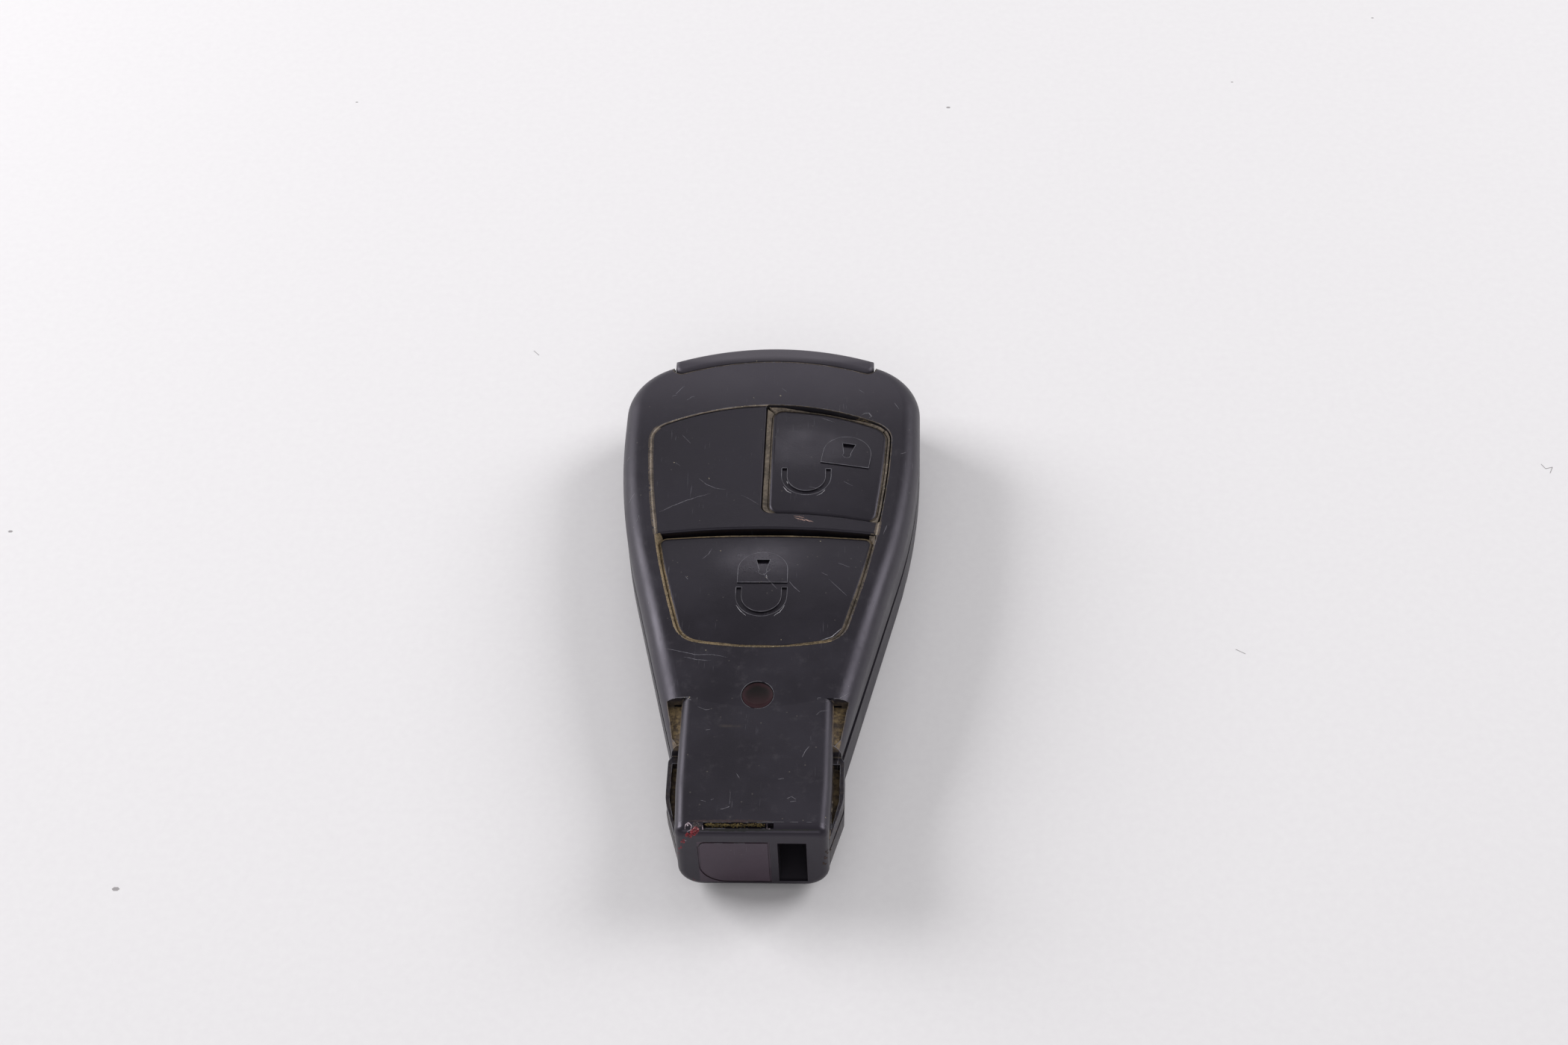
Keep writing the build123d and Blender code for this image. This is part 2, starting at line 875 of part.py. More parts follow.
# Lower form of the nose, with the lower half of its wings
nose_lower = nose_run(
    (
        (shoulder_y, wing_start_x, wing_bottom_radius),
        (wing_shoulder_y, wing_half_width, wing_bottom_radius),
        (wing_bend_y, wing_half_width, wing_bottom_radius),
        (window_seam_y, wing_end_half_width, nose_bottom_radius),
    ),
    gap_shoulder_low_z,
    0,
)

back_hollow_floor = nose_bottom_z + nose_floor
outer_ring = cavity_plan(-seam_gap)
slide_ring = cavity_plan(seam_gap)
inner_ring = cavity_plan(seam_gap + lip_thickness)
cover_length = cover_high_y - cover_low_y
cover_y = (cover_high_y + cover_low_y) / 2

# Back casing
with BuildPart() as back_shell:
    with BuildSketch(Plane.XY):
        add(body_outer)
    extrude(amount=gap_shoulder_low_z)
    base_rim = back_shell.edges().filter_by(
        lambda e: e.center().Z < snug_gap and abs(e.center().X) > lens_radius
    )
    fillet(base_rim, back_edge_radius)
    add(nose_lower)
    with BuildSketch(Plane.XY.offset(back_wall)):
        add(hollow)
        with Locations((tab_end_x - spring_length, spring_y)):
            Rectangle(
                key_half_width,
                spring_stop_width,
                align=(Align.MAX, Align.CENTER),
                mode=Mode.SUBTRACT,
            )
    extrude(amount=tab_high_z - back_wall, mode=Mode.SUBTRACT)
    with BuildSketch(Plane.XY.offset(tab_high_z)):
        add(hollow)
    extrude(amount=key_height, mode=Mode.SUBTRACT)
    with Locations((0, nose_root_y, back_hollow_floor)):
        Box(
            2 * nose_inner_half_width,
            nose_root_y - near_edge,
            key_height,
            align=(Align.CENTER, Align.MAX, Align.MIN),
            mode=Mode.SUBTRACT,
        )
    add(over_back, mode=Mode.SUBTRACT)
    with BuildSketch(Plane.XY.offset(lip_low_z)):
        add(outer_ring)
        add(inner_ring, mode=Mode.SUBTRACT)
    extrude(amount=gap_low_z - seam_gap - lip_low_z)
    with BuildSketch(Plane.XY.offset(lip_low_z)):
        add(slide_ring)
        add(inner_ring, mode=Mode.SUBTRACT)
    extrude(amount=lip_high_z - lip_low_z)
    with Locations((0, window_seam_y, back_hollow_floor)):
        Box(
            2 * nose_inner_half_width,
            frame_low_y - window_seam_y,
            key_height,
            align=(Align.CENTER, Align.MIN, Align.MIN),
            mode=Mode.SUBTRACT,
        )
    with Locations(((slot_low_x + slot_high_x) / 2, window_seam_y, slot_low_z - socket_wall - lens_gap)):
        Box(
            slot_high_x - slot_low_x + 2 * (socket_wall + lens_gap),
            2 * slot_depth,
            key_height,
            align=(Align.CENTER, Align.CENTER, Align.MIN),
            mode=Mode.SUBTRACT,
        )
    add(notch, mode=Mode.SUBTRACT)
    with Locations((0, tongue_start_y - slide_gap, 0)):
        Box(
            2 * (tongue_half_width + slide_gap),
            corner_radius,
            2 * key_height,
            align=(Align.CENTER, Align.MIN, Align.CENTER),
            mode=Mode.SUBTRACT,
        )
    with BuildSketch(Plane.XY):
        with Locations((0, cover_y)):
            SlotOverall(cover_length + 2 * cover_gap, 2 * (cover_half_width + cover_gap), rotation=90)
    extrude(amount=back_wall, mode=Mode.SUBTRACT)
    with Locations((thumb_high_x + thumb_window_gap, (thumb_low_y + thumb_high_y) / 2, 0)):
        Box(
            thumb_high_x - thumb_low_x + tab_travel + 2 * thumb_window_gap,
            thumb_high_y - thumb_low_y + 2 * thumb_window_gap,
            2 * back_wall,
            align=(Align.MAX, Align.CENTER, Align.CENTER),
            mode=Mode.SUBTRACT,
        )
back_shell.part.label = "back_shell"
export_step(back_shell.part, "parts/back_shell.step")

slot_x = (slot_low_x + slot_high_x) / 2
slot_z = (slot_low_z + slot_high_z) / 2
slot_width = slot_high_x - slot_low_x
slot_height = slot_high_z - slot_low_z
plug_half_width = nose_inner_half_width - lens_gap
plug_low_z = back_hollow_floor + lens_gap
plug_high_z = nose_top_z - nose_wall - lens_gap

# Window that closes the tip of the nose, with the socket for the ignition lock's tongue
with BuildPart() as nose_window:
    add(nose_upper)
    with Locations((0, window_seam_y, 0)):
        Box(
            2 * key_half_width,
            key_length,
            2 * key_height,
            align=(Align.CENTER, Align.MIN, Align.CENTER),
            mode=Mode.SUBTRACT,
        )
    face_edges = nose_window.faces().sort_by(Axis.Y)[0].edges()
    fillet(face_edges, window_edge_radius)
    with Locations((0, window_seam_y, (plug_low_z + plug_high_z) / 2)):
        Box(
            2 * plug_half_width,
            window_plug,
            plug_high_z - plug_low_z,
            align=(Align.CENTER, Align.MIN, Align.CENTER),
        )
        Box(
            2 * (plug_half_width - socket_wall),
            window_plug,
            plug_high_z - plug_low_z - 2 * socket_wall,
            align=(Align.CENTER, Align.MIN, Align.CENTER),
            mode=Mode.SUBTRACT,
        )
    with Locations((slot_x, window_seam_y, slot_z)):
        Box(
            slot_width + 2 * socket_wall,
            nose_end_y + slot_depth + socket_wall - window_seam_y,
            slot_height + 2 * socket_wall,
            align=(Align.CENTER, Align.MIN, Align.CENTER),
        )
    with Locations((slot_x, nose_end_y, slot_z)):
        Box(
            slot_width,
            slot_depth,
            slot_height,
            align=(Align.CENTER, Align.MIN, Align.CENTER),
            mode=Mode.SUBTRACT,
        )
    with Locations((groove_x, groove_y, nose_top_z - groove_depth)):
        Box(
            groove_length,
            groove_width,
            key_height,
            align=(Align.CENTER, Align.CENTER, Align.MIN),
            mode=Mode.SUBTRACT,
        )
    with BuildSketch(Plane.XZ.offset(-nose_end_y)) as rim_line:
        with BuildLine():
            Polyline(
                (window_rim_x, window_rim_low_z),
                (window_rim_x, window_rim_high_z),
                (window_rim_far_x, window_rim_high_z),
                (window_rim_far_x, window_rim_low_z),
                close=True,
            )
        make_face()
        far_corners = rim_line.vertices().group_by(Axis.X)[0].sort_by(Axis.Y)
        fillet(far_corners[0], window_rim_radius)
        upper_far = rim_line.vertices().filter_by(
            lambda v: abs(v.Y - window_rim_high_z) < snug_gap and v.X < 0
        )
        fillet(upper_far, window_rim_small_radius)
        offset(amount=-window_rim_width, mode=Mode.SUBTRACT)
    extrude(amount=-window_rim_depth, mode=Mode.SUBTRACT)
nose_window.part.label = "nose_window"
export_step(nose_window.part, "parts/nose_window.step")


def padlock_body(x, y, turn):
    """Outline of a padlock's body: a flat foot at (x, y) and a round head."""
    with BuildSketch() as plan:
        with BuildLine():
            Line((icon_half_width, icon_side), (icon_half_width, 0))
            Line((icon_half_width, 0), (-icon_half_width, 0))
            Line((-icon_half_width, 0), (-icon_half_width, icon_side))
            ThreePointArc(
                (-icon_half_width, icon_side),
                (0, icon_side + icon_half_width),
                (icon_half_width, icon_side),
            )
        make_face()
    return plan.sketch.rotate(Axis.Z, turn).translate((x, y, 0))


def padlock_keyhole(x, y, turn):
    """The keyhole of a padlock whose foot is at (x, y)."""
    with BuildSketch() as plan:
        with BuildLine():
            Polyline(
                (keyhole_top_width / 2, keyhole_top_y),
                (keyhole_low_width / 2, keyhole_low_y),
                (-keyhole_low_width / 2, keyhole_low_y),
                (-keyhole_top_width / 2, keyhole_top_y),
                close=True,
            )
        make_face()
        with Locations((0, keyhole_low_y)):
            Circle(keyhole_foot_radius)
    return plan.sketch.rotate(Axis.Z, turn).translate((x, y, 0))


def padlock_shackle(x, y):
    """The bow of a padlock, its round end centred at (x, y)."""
    with BuildSketch() as plan:
        with BuildLine():
            Line((shackle_radius, shackle_leg), (shackle_radius, 0))
            ThreePointArc((shackle_radius, 0), (0, -shackle_radius), (-shackle_radius, 0))
            Line((-shackle_radius, 0), (-shackle_radius, shackle_leg))
        trace(line_width=icon_line)
    return plan.sketch.translate((x, y, 0))


def face_cutter(plans, face):
    """Prisms over the plans that cut to one groove depth under an arched face."""
    floor_block = cap_block(face, -icon_groove_depth)
    with BuildPart() as cutter:
        with BuildSketch(Plane.XY.offset(flange_high_z)):
            for plan in plans:
                add(plan)
        extrude(amount=key_height)
        add(floor_block, mode=Mode.SUBTRACT)
    return cutter.part


def padlock_plateau(plan, face):
    """A padlock's body that stands a little over the arched face."""
    face_block = cap_block(face, icon_relief)
    with BuildPart() as plateau:
        with BuildSketch(Plane.XY.offset(flange_low_z)):
            add(plan)
        extrude(amount=key_height)
        add(face_block, mode=Mode.INTERSECT)
    return plateau.part


def flange_plan(outline):
    """A flange's outline, kept inside the hollow of the casing."""
    with BuildSketch() as plan:
        add(outline)
        add(cavity_plan(seam_gap), mode=Mode.INTERSECT)
    return plan.sketch


def button_cap(name, plan, flange, face, plateau, cutter):
    """A button's cap: arched face, flange under the casing, padlock on top."""
    face_block = cap_block(face, 0)
    with BuildPart() as cap:
        with BuildSketch(Plane.XY.offset(flange_low_z)):
            add(plan)
        extrude(amount=key_height)
        add(face_block, mode=Mode.INTERSECT)
        face_edges = cap.edges().filter_by(lambda e: e.center().Z > flange_high_z)
        upright = cap.edges().filter_by(Axis.Z)
        fillet(face_edges - upright, button_edge_radius)
        with BuildSketch(Plane.XY.offset(flange_low_z)):
            add(flange)
        extrude(amount=flange_thickness)
        add(plateau)
        add(cutter, mode=Mode.SUBTRACT)
    cap.part.label = name
    export_step(cap.part, "parts/" + name + ".step")


# Lock button
lock_face = (lock_crest_y, lock_crest_z, lock_arch_radius)
lock_outline = lock_plan(pad_gap, lock_corner_radius)
lock_flange = flange_plan(lock_plan(-flange_reach, 0))
lock_plateau = padlock_plateau(padlock_body(lock_icon_x, lock_icon_y, 0), lock_face)
lock_lines = [
    padlock_shackle(lock_shackle_x, lock_shackle_y),
    padlock_keyhole(lock_icon_x, lock_icon_y, 0),
]
lock_cutter = face_cutter(lock_lines, lock_face)
button_cap("lock_button", lock_outline, lock_flange, lock_face, lock_plateau, lock_cutter)

# Unlock button
unlock_face = (unlock_crest_y, unlock_crest_z, unlock_arch_radius)
unlock_outline = unlock_plan(unlock_side_gap, button_corner_radius)
unlock_flange = flange_plan(unlock_plan(-flange_reach, 0))
unlock_body_plan = padlock_body(unlock_icon_x, unlock_icon_y, unlock_icon_degrees)
unlock_plateau = padlock_plateau(unlock_body_plan, unlock_face)
unlock_lines = [
    padlock_shackle(unlock_shackle_x, unlock_shackle_y),
    padlock_keyhole(unlock_icon_x, unlock_icon_y, unlock_icon_degrees),
]
unlock_cutter = face_cutter(unlock_lines, unlock_face)
button_cap("unlock_button", unlock_outline, unlock_flange, unlock_face, unlock_plateau, unlock_cutter)

# Blank panel that fills the rest of the recess
panel_feet = (
    (panel_foot_far_x, panel_foot_far_y),
    (panel_foot_near_x, panel_foot_near_y),
    (panel_foot_strip_x, panel_foot_strip_y),
)
panel_outline = panel_plan(seam_gap)
panel_flange = flange_plan(panel_plan(-flange_reach))
with BuildPart() as blank_panel:
    with BuildSketch(Plane.XY.offset(flange_low_z)):
        add(panel_outline)
    extrude(amount=key_height)
    add(crown_panel, mode=Mode.INTERSECT)
    panel_rim = blank_panel.edges().filter_by(lambda e: e.center().Z > flange_high_z)
    fillet(panel_rim - blank_panel.edges().filter_by(Axis.Z), panel_rim_radius)
    with BuildSketch(Plane.XY.offset(flange_low_z)):
        add(panel_flange)
    extrude(amount=flange_thickness)
    for foot_x, foot_y in panel_feet:
        with Locations((foot_x, foot_y, board_top_z)):
            Cylinder(
                panel_foot_radius,
                flange_low_z - board_top_z,
                align=(Align.CENTER, Align.CENTER, Align.MIN),
            )
blank_panel.part.label = "blank_panel"
export_step(blank_panel.part, "parts/blank_panel.step")

# Lens of the indicator light
lens_top_z = crown_height(0, lens_y, 0)
with BuildPart() as led_lens:
    with Locations((0, lens_y, lens_low_z)):
        Cylinder(lens_radius, key_height, align=(Align.CENTER, Align.CENTER, Align.MIN))
    add(crown_outer, mode=Mode.INTERSECT)
    with Locations((0, lens_y, lens_flange_low_z)):
        Cylinder(
            lens_flange_radius,
            lens_flange_high_z - lens_flange_low_z,
            align=(Align.CENTER, Align.CENTER, Align.MIN),
        )
    with Locations((0, lens_y, lens_top_z - lens_dish_depth + lens_dish_radius)):
        Sphere(lens_dish_radius, mode=Mode.SUBTRACT)
led_lens.part.label = "led_lens"
export_step(led_lens.part, "parts/led_lens.step")

ring_hole_y = end_y - ring_hole_corner / 2
ring_hole_z = bar_low_z + ring_hole_corner / 2
blade_high_z = blade_low_z + blade_thickness
blade_middle_z = blade_low_z + blade_thickness / 2

# Head of the emergency key: the crescent bar, its tongue and its tail
with BuildPart() as key_head:
    with BuildSketch(Plane.XY.offset(bar_low_z)) as bar_outline:
        with Locations((0, end_y - end_arc_radius)):
            Circle(end_arc_radius)
        with Locations((0, bar_inner_y - bar_inner_radius)):
            Circle(bar_inner_radius, mode=Mode.SUBTRACT)
        with Locations((0, end_y)):
            Rectangle(2 * bar_half_length, 2 * corner_radius, mode=Mode.INTERSECT)
        fillet(bar_outline.vertices().group_by(Axis.Y)[0], bar_corner_radius)
    extrude(amount=key_height)
    add(crown_outer, mode=Mode.INTERSECT)
    bar_rims = key_head.faces().sort_by(Axis.Z)
    fillet(bar_rims[-1].edges() + bar_rims[0].edges(), bar_edge_radius)
    with Locations((0, tongue_start_y, bar_low_z)):
        Box(
            2 * tongue_half_width,
            (end_y + bar_inner_y) / 2 - tongue_start_y,
            tongue_high_z - bar_low_z,
            align=(Align.CENTER, Align.MIN, Align.MIN),
        )
    with Locations((0, tail_start_y, tail_low_z)):
        Box(
            2 * tail_half_width,
            tongue_start_y - tail_start_y + snug_gap,
            tail_high_z - tail_low_z,
            align=(Align.CENTER, Align.MIN, Align.MIN),
        )
    with Locations((0, tongue_start_y, blade_middle_z)):
        Box(
            blade_width + 2 * blade_gap,
            2 * (blade_root_y + blade_gap - tongue_start_y),
            blade_thickness + 2 * blade_gap,
            mode=Mode.SUBTRACT,
        )
    with Locations(Location((0, ring_hole_y, ring_hole_z), (-ring_hole_degrees, 0, 0))):
        Cylinder(ring_hole_radius, 2 * ring_hole_reach, mode=Mode.SUBTRACT)
key_head.part.label = "key_head"
export_step(key_head.part, "parts/key_head.step")

track_points = [
    (track_swing * (-1) ** step, blade_tip_y + (step - 1) * track_pitch) for step in range(track_count + 1)
]

# Blade of the emergency key, with a winding track milled in both faces
with BuildPart() as key_blade:
    with BuildSketch(Plane.XY.offset(blade_low_z)):
        with BuildLine():
            Polyline(
                (blade_width / 2, blade_root_y),
                (blade_width / 2, blade_tip_y + blade_tip_taper),
                (blade_width / 2 - blade_tip_taper, blade_tip_y),
                (-blade_width / 2 + blade_tip_taper, blade_tip_y),
                (-blade_width / 2, blade_tip_y + blade_tip_taper),
                (-blade_width / 2, blade_root_y),
                close=True,
            )
        make_face()
    extrude(amount=blade_thickness)
    with BuildSketch() as track:
        with BuildLine():
            FilletPolyline(*track_points, radius=track_radius)
        trace(line_width=track_width)
    with BuildSketch(Plane.XY.offset(blade_low_z)):
        add(track.sketch)
    extrude(amount=track_depth, mode=Mode.SUBTRACT)
    with BuildSketch(Plane.XY.offset(blade_high_z)):
        add(track.sketch)
    extrude(amount=-track_depth, mode=Mode.SUBTRACT)
key_blade.part.label = "key_blade"
export_step(key_blade.part, "parts/key_blade.step")

cell_high_z = cell_low_z + cell_height

# Coin cell under the ring end, its flat face up
with BuildPart() as coin_cell_near_ring:
    with Locations((0, cell_near_ring_y, cell_high_z)):
        Cylinder(cell_radius, cell_height - cell_step, align=(Align.CENTER, Align.CENTER, Align.MAX))
    fillet(coin_cell_near_ring.edges(), cell_edge_radius)
    with Locations((0, cell_near_ring_y, cell_low_z)):
        Cylinder(cell_cap_radius, cell_height / 2, align=(Align.CENTER, Align.CENTER, Align.MIN))
coin_cell_near_ring.part.label = "coin_cell_near_ring"
export_step(coin_cell_near_ring.part, "parts/coin_cell_near_ring.step")

# Coin cell near the nose, its cap up
with BuildPart() as coin_cell_near_nose:
    with Locations((0, cell_near_nose_y, cell_low_z)):
        Cylinder(cell_radius, cell_height - cell_step, align=(Align.CENTER, Align.CENTER, Align.MIN))
    fillet(coin_cell_near_nose.edges(), cell_edge_radius)
    with Locations((0, cell_near_nose_y, cell_high_z)):
        Cylinder(cell_cap_radius, cell_height / 2, align=(Align.CENTER, Align.CENTER, Align.MAX))
coin_cell_near_nose.part.label = "coin_cell_near_nose"
export_step(coin_cell_near_nose.part, "parts/coin_cell_near_nose.step")

# Battery cover in the back, with grip grooves
with BuildPart() as battery_cover:
    with BuildSketch(Plane.XY.offset(cover_low_z)):
        with Locations((0, cover_y)):
            SlotOverall(cover_length, 2 * cover_half_width, rotation=90)
    extrude(amount=cover_thickness)
    with Locations((0, cell_near_ring_y, cover_low_z)):
        with GridLocations(0, cover_grip_pitch, 1, cover_grip_count):
            Box(cover_grip_width, cover_grip_rib, 2 * cover_grip_depth, mode=Mode.SUBTRACT)
battery_cover.part.label = "battery_cover"
export_step(battery_cover.part, "parts/battery_cover.step")

# Strip on the cover that joins the two cells
with BuildPart() as battery_link:
    with Locations((0, link_low_y, cover_high_z)):
        Box(link_width, link_high_y - link_low_y, link_thickness, align=(Align.CENTER, Align.MIN, Align.MIN))
battery_link.part.label = "battery_link"
export_step(battery_link.part, "parts/battery_link.step")

channel_width = blade_width + 2 * channel_gap
pocket_width = frame_pocket_high_x - frame_pocket_low_x
pocket_middle_x = frame_pocket_low_x + pocket_width / 2
contact_places = (cell_near_ring_y, cell_near_nose_y)
contact_start_x = contact_leg_x - contact_width / 2
contact_end_x = contact_leg_x + contact_thickness

# Chassis between the cells and the board
with BuildPart() as inner_frame:
    with BuildSketch(Plane.XY.offset(frame_deck_low_z)):
        add(cavity_plan(frame_inset - shell_wall))
        with Locations((0, frame_low_y)):
            Rectangle(
                2 * key_half_width,
                frame_high_y - frame_low_y,
                align=(Align.CENTER, Align.MIN),
                mode=Mode.INTERSECT,
            )
    extrude(amount=frame_high_z - frame_deck_low_z)
    with BuildSketch(Plane.XY.offset(frame_block_low_z)):
        with Locations((0, frame_block_low_y)):
            Rectangle(
                2 * frame_half_width,
                frame_block_high_y - frame_block_low_y,
                align=(Align.CENTER, Align.MIN),
            )
        add(cavity_plan(slide_gap), mode=Mode.INTERSECT)
    extrude(amount=frame_deck_low_z - frame_block_low_z)
    for place_y in contact_places:
        with Locations((0, place_y, frame_deck_low_z)):
            Cylinder(
                cell_radius + cell_gap,
                2 * (frame_deck_low_z - frame_block_low_z),
                align=(Align.CENTER, Align.CENTER, Align.MAX),
                mode=Mode.SUBTRACT,
            )
        with Locations((contact_start_x, place_y, frame_block_low_z)):
            Box(
                contact_end_x - contact_start_x + contact_slot_gap,
                contact_width + 2 * contact_slot_gap,
                key_height,
                align=(Align.MIN, Align.CENTER, Align.MIN),
                mode=Mode.SUBTRACT,
            )
    with Locations((0, channel_end_y, channel_floor_z)):
        Box(
            channel_width,
            key_length,
            key_height,
            align=(Align.CENTER, Align.MIN, Align.MIN),
            mode=Mode.SUBTRACT,
        )
    with Locations((0, link_relief_low_y, 0)):
        Box(
            link_width + 2 * channel_gap,
            link_relief,
            2 * (cover_high_z + 2 * link_thickness),
            align=(Align.CENTER, Align.MIN, Align.CENTER),
            mode=Mode.SUBTRACT,
        )
    for row_low_y in (frame_pocket_first_y, frame_pocket_second_y):
        for side in (1, -1):
            with Locations((side * pocket_middle_x, row_low_y, frame_pocket_floor_z)):
                Box(
                    pocket_width,
                    frame_pocket_length,
                    key_height,
                    align=(Align.CENTER, Align.MIN, Align.MIN),
                    mode=Mode.SUBTRACT,
                )
inner_frame.part.label = "inner_frame"
export_step(inner_frame.part, "parts/inner_frame.step")


def cell_contact(name, place_y):
    """A spring contact: a finger on the cell and a leg up to the board."""
    with BuildPart() as contact:
        with Locations((contact_finger_low_x, place_y, frame_deck_low_z)):
            Box(
                contact_end_x - contact_finger_low_x,
                contact_width,
                contact_thickness,
                align=(Align.MIN, Align.CENTER, Align.MAX),
            )
        with Locations((contact_leg_x, place_y, frame_deck_low_z - contact_thickness)):
            Box(
                contact_thickness,
                contact_width,
                frame_high_z - frame_deck_low_z + contact_thickness,
                align=(Align.MIN, Align.CENTER, Align.MIN),
            )
    contact.part.label = name
    export_step(contact.part, "parts/" + name + ".step")


# Contacts that carry the cells' current to the board
cell_contact("contact_positive", cell_near_ring_y)
cell_contact("contact_negative", cell_near_nose_y)

# Circuit board, with a tongue that reaches into the nose
with BuildPart() as circuit_board:
    with BuildSketch(Plane.XY.offset(frame_high_z)):
        add(cavity_plan(board_inset - shell_wall))
        with Locations((0, board_low_y)):
            Rectangle(
                2 * key_half_width,
                board_high_y - board_low_y,
                align=(Align.CENTER, Align.MIN),
                mode=Mode.INTERSECT,
            )
        with Locations((board_tongue_low_x, board_tongue_end_y)):
            Rectangle(
                board_tongue_high_x - board_tongue_low_x,
                board_low_y - board_tongue_end_y,
                align=(Align.MIN, Align.MIN),
            )
    extrude(amount=board_thickness)
circuit_board.part.label = "circuit_board"
export_step(circuit_board.part, "parts/circuit_board.step")

switch_high_z = board_top_z + switch_height
well_floor_z = board_top_z + switch_wall_floor
disc_ball_radius = (disc_radius**2 + disc_rise**2) / (2 * disc_rise)
disc_centre_z = well_floor_z + disc_rise - disc_ball_radius


def press_switch(name, x, y):
    """Housing of a press switch, with a well for its snap disc."""
    with BuildPart() as housing:
        with Locations((x, y, board_top_z)):
            Box(switch_side, switch_side, switch_height, align=(Align.CENTER, Align.CENTER, Align.MIN))
        with Locations((x, y, well_floor_z)):
            Cylinder(
                switch_well_radius,
                switch_high_z - switch_lid - well_floor_z,
                align=(Align.CENTER, Align.CENTER, Align.MIN),
                mode=Mode.SUBTRACT,
            )
            Cylinder(
                switch_bore_radius,
                key_height,
                align=(Align.CENTER, Align.CENTER, Align.MIN),
                mode=Mode.SUBTRACT,
            )
    housing.part.label = name
    export_step(housing.part, "parts/" + name + ".step")


def snap_disc(name, x, y):
    """Domed metal disc that clicks when it is pressed."""
    with BuildPart() as disc:
        with Locations((x, y, disc_centre_z)):
            Sphere(disc_ball_radius + disc_thickness)
            Sphere(disc_ball_radius, mode=Mode.SUBTRACT)
        with Locations((x, y, well_floor_z)):
            Cylinder(
                switch_well_radius,
                key_height,
                align=(Align.CENTER, Align.CENTER, Align.MIN),
                mode=Mode.INTERSECT,
            )
    disc.part.label = name
    export_step(disc.part, "parts/" + name + ".step")


def switch_plunger(name, x, y):
    """Pin between a button and its snap disc."""
    with BuildPart() as plunger:
        with Locations((x, y, switch_plunger_low_z)):
            Cylinder(
                switch_plunger_radius,
                flange_low_z - switch_plunger_low_z,
                align=(Align.CENTER, Align.CENTER, Align.MIN),
            )
    plunger.part.label = name
    export_step(plunger.part, "parts/" + name + ".step")


# Switches under the two buttons
press_switch("lock_switch", lock_switch_x, lock_switch_y)
press_switch("unlock_switch", unlock_switch_x, unlock_switch_y)
snap_disc("lock_snap_disc", lock_switch_x, lock_switch_y)
snap_disc("unlock_snap_disc", unlock_switch_x, unlock_switch_y)
switch_plunger("lock_plunger", lock_switch_x, lock_switch_y)
switch_plunger("unlock_plunger", unlock_switch_x, unlock_switch_y)

# Controller chip, with its legs on two sides
with BuildPart() as controller_chip:
    with Locations((chip_x, chip_y, board_top_z)):
        Box(chip_side, chip_side, chip_height, align=(Align.CENTER, Align.CENTER, Align.MIN))
        with GridLocations(0, chip_leg_pitch, 1, chip_leg_count):
            Box(
                chip_side + 2 * chip_leg_reach,
                chip_leg,
                chip_leg,
                align=(Align.CENTER, Align.CENTER, Align.MIN),
            )
controller_chip.part.label = "controller_chip"
export_step(controller_chip.part, "parts/controller_chip.step")

# Radio resonator
with BuildPart() as radio_resonator:
    with BuildSketch(Plane.XY.offset(board_top_z)):
        with Locations((resonator_x, resonator_y)):
            RectangleRounded(resonator_length, resonator_width, resonator_radius)
    extrude(amount=resonator_height)
radio_resonator.part.label = "radio_resonator"
export_step(radio_resonator.part, "parts/radio_resonator.step")

# Indicator light under the lens
with BuildPart() as indicator_led:
    with Locations((0, lens_y, board_top_z)):
        Box(light_length, light_width, light_height, align=(Align.CENTER, Align.CENTER, Align.MIN))
indicator_led.part.label = "indicator_led"
export_step(indicator_led.part, "parts/indicator_led.step")

# The two infrared lights behind the window
with BuildPart() as infrared_leds:
    for light_x in (infrared_left_x, infrared_right_x):
        with BuildSketch(Plane.XZ.offset(-infrared_start_y)):
            with Locations((light_x, infrared_z)):
                Circle(infrared_radius)
        extrude(amount=infrared_length - infrared_radius)
        with Locations((light_x, infrared_start_y - infrared_length + infrared_radius, infrared_z)):
            Sphere(infrared_radius)
infrared_leds.part.label = "infrared_leds"
export_step(infrared_leds.part, "parts/infrared_leds.step")

# Pickup coil for the starter, on its ferrite core
with BuildPart() as ferrite_core:
    with Locations(Location((coil_x, coil_y, coil_z), (0, quarter_turn, 0))):
        Cylinder(core_radius, core_length)
ferrite_core.part.label = "ferrite_core"
export_step(ferrite_core.part, "parts/ferrite_core.step")

with BuildPart() as pickup_coil:
    with Locations(Location((coil_x, coil_y, coil_z), (0, quarter_turn, 0))):
        Cylinder(coil_radius, coil_length)
        Cylinder(core_radius, coil_length, mode=Mode.SUBTRACT)
pickup_coil.part.label = "pickup_coil"
export_step(pickup_coil.part, "parts/pickup_coil.step")

switch_hole_side = switch_side + 2 * sheet_hole_gap

# Rubber sheet between the buttons and the board
with BuildPart() as keypad_sheet:
    with BuildSketch(Plane.XY.offset(lip_high_z)):
        add(cavity_plan(sheet_inset - shell_wall))
        with Locations((0, sheet_low_y)):
            Rectangle(
                2 * key_half_width,
                sheet_high_y - sheet_low_y,
                align=(Align.CENTER, Align.MIN),
                mode=Mode.INTERSECT,
            )
        with Locations((lock_switch_x, lock_switch_y), (unlock_switch_x, unlock_switch_y)):
            Rectangle(switch_hole_side, switch_hole_side, mode=Mode.SUBTRACT)
        with Locations(*panel_feet):
            Circle(panel_foot_radius + sheet_hole_gap, mode=Mode.SUBTRACT)
    extrude(amount=sheet_thickness)
keypad_sheet.part.label = "keypad_sheet"
export_step(keypad_sheet.part, "parts/keypad_sheet.step")

bolt_end_x = -tail_half_width - bolt_gap
tab_z = (tab_low_z + tab_high_z) / 2

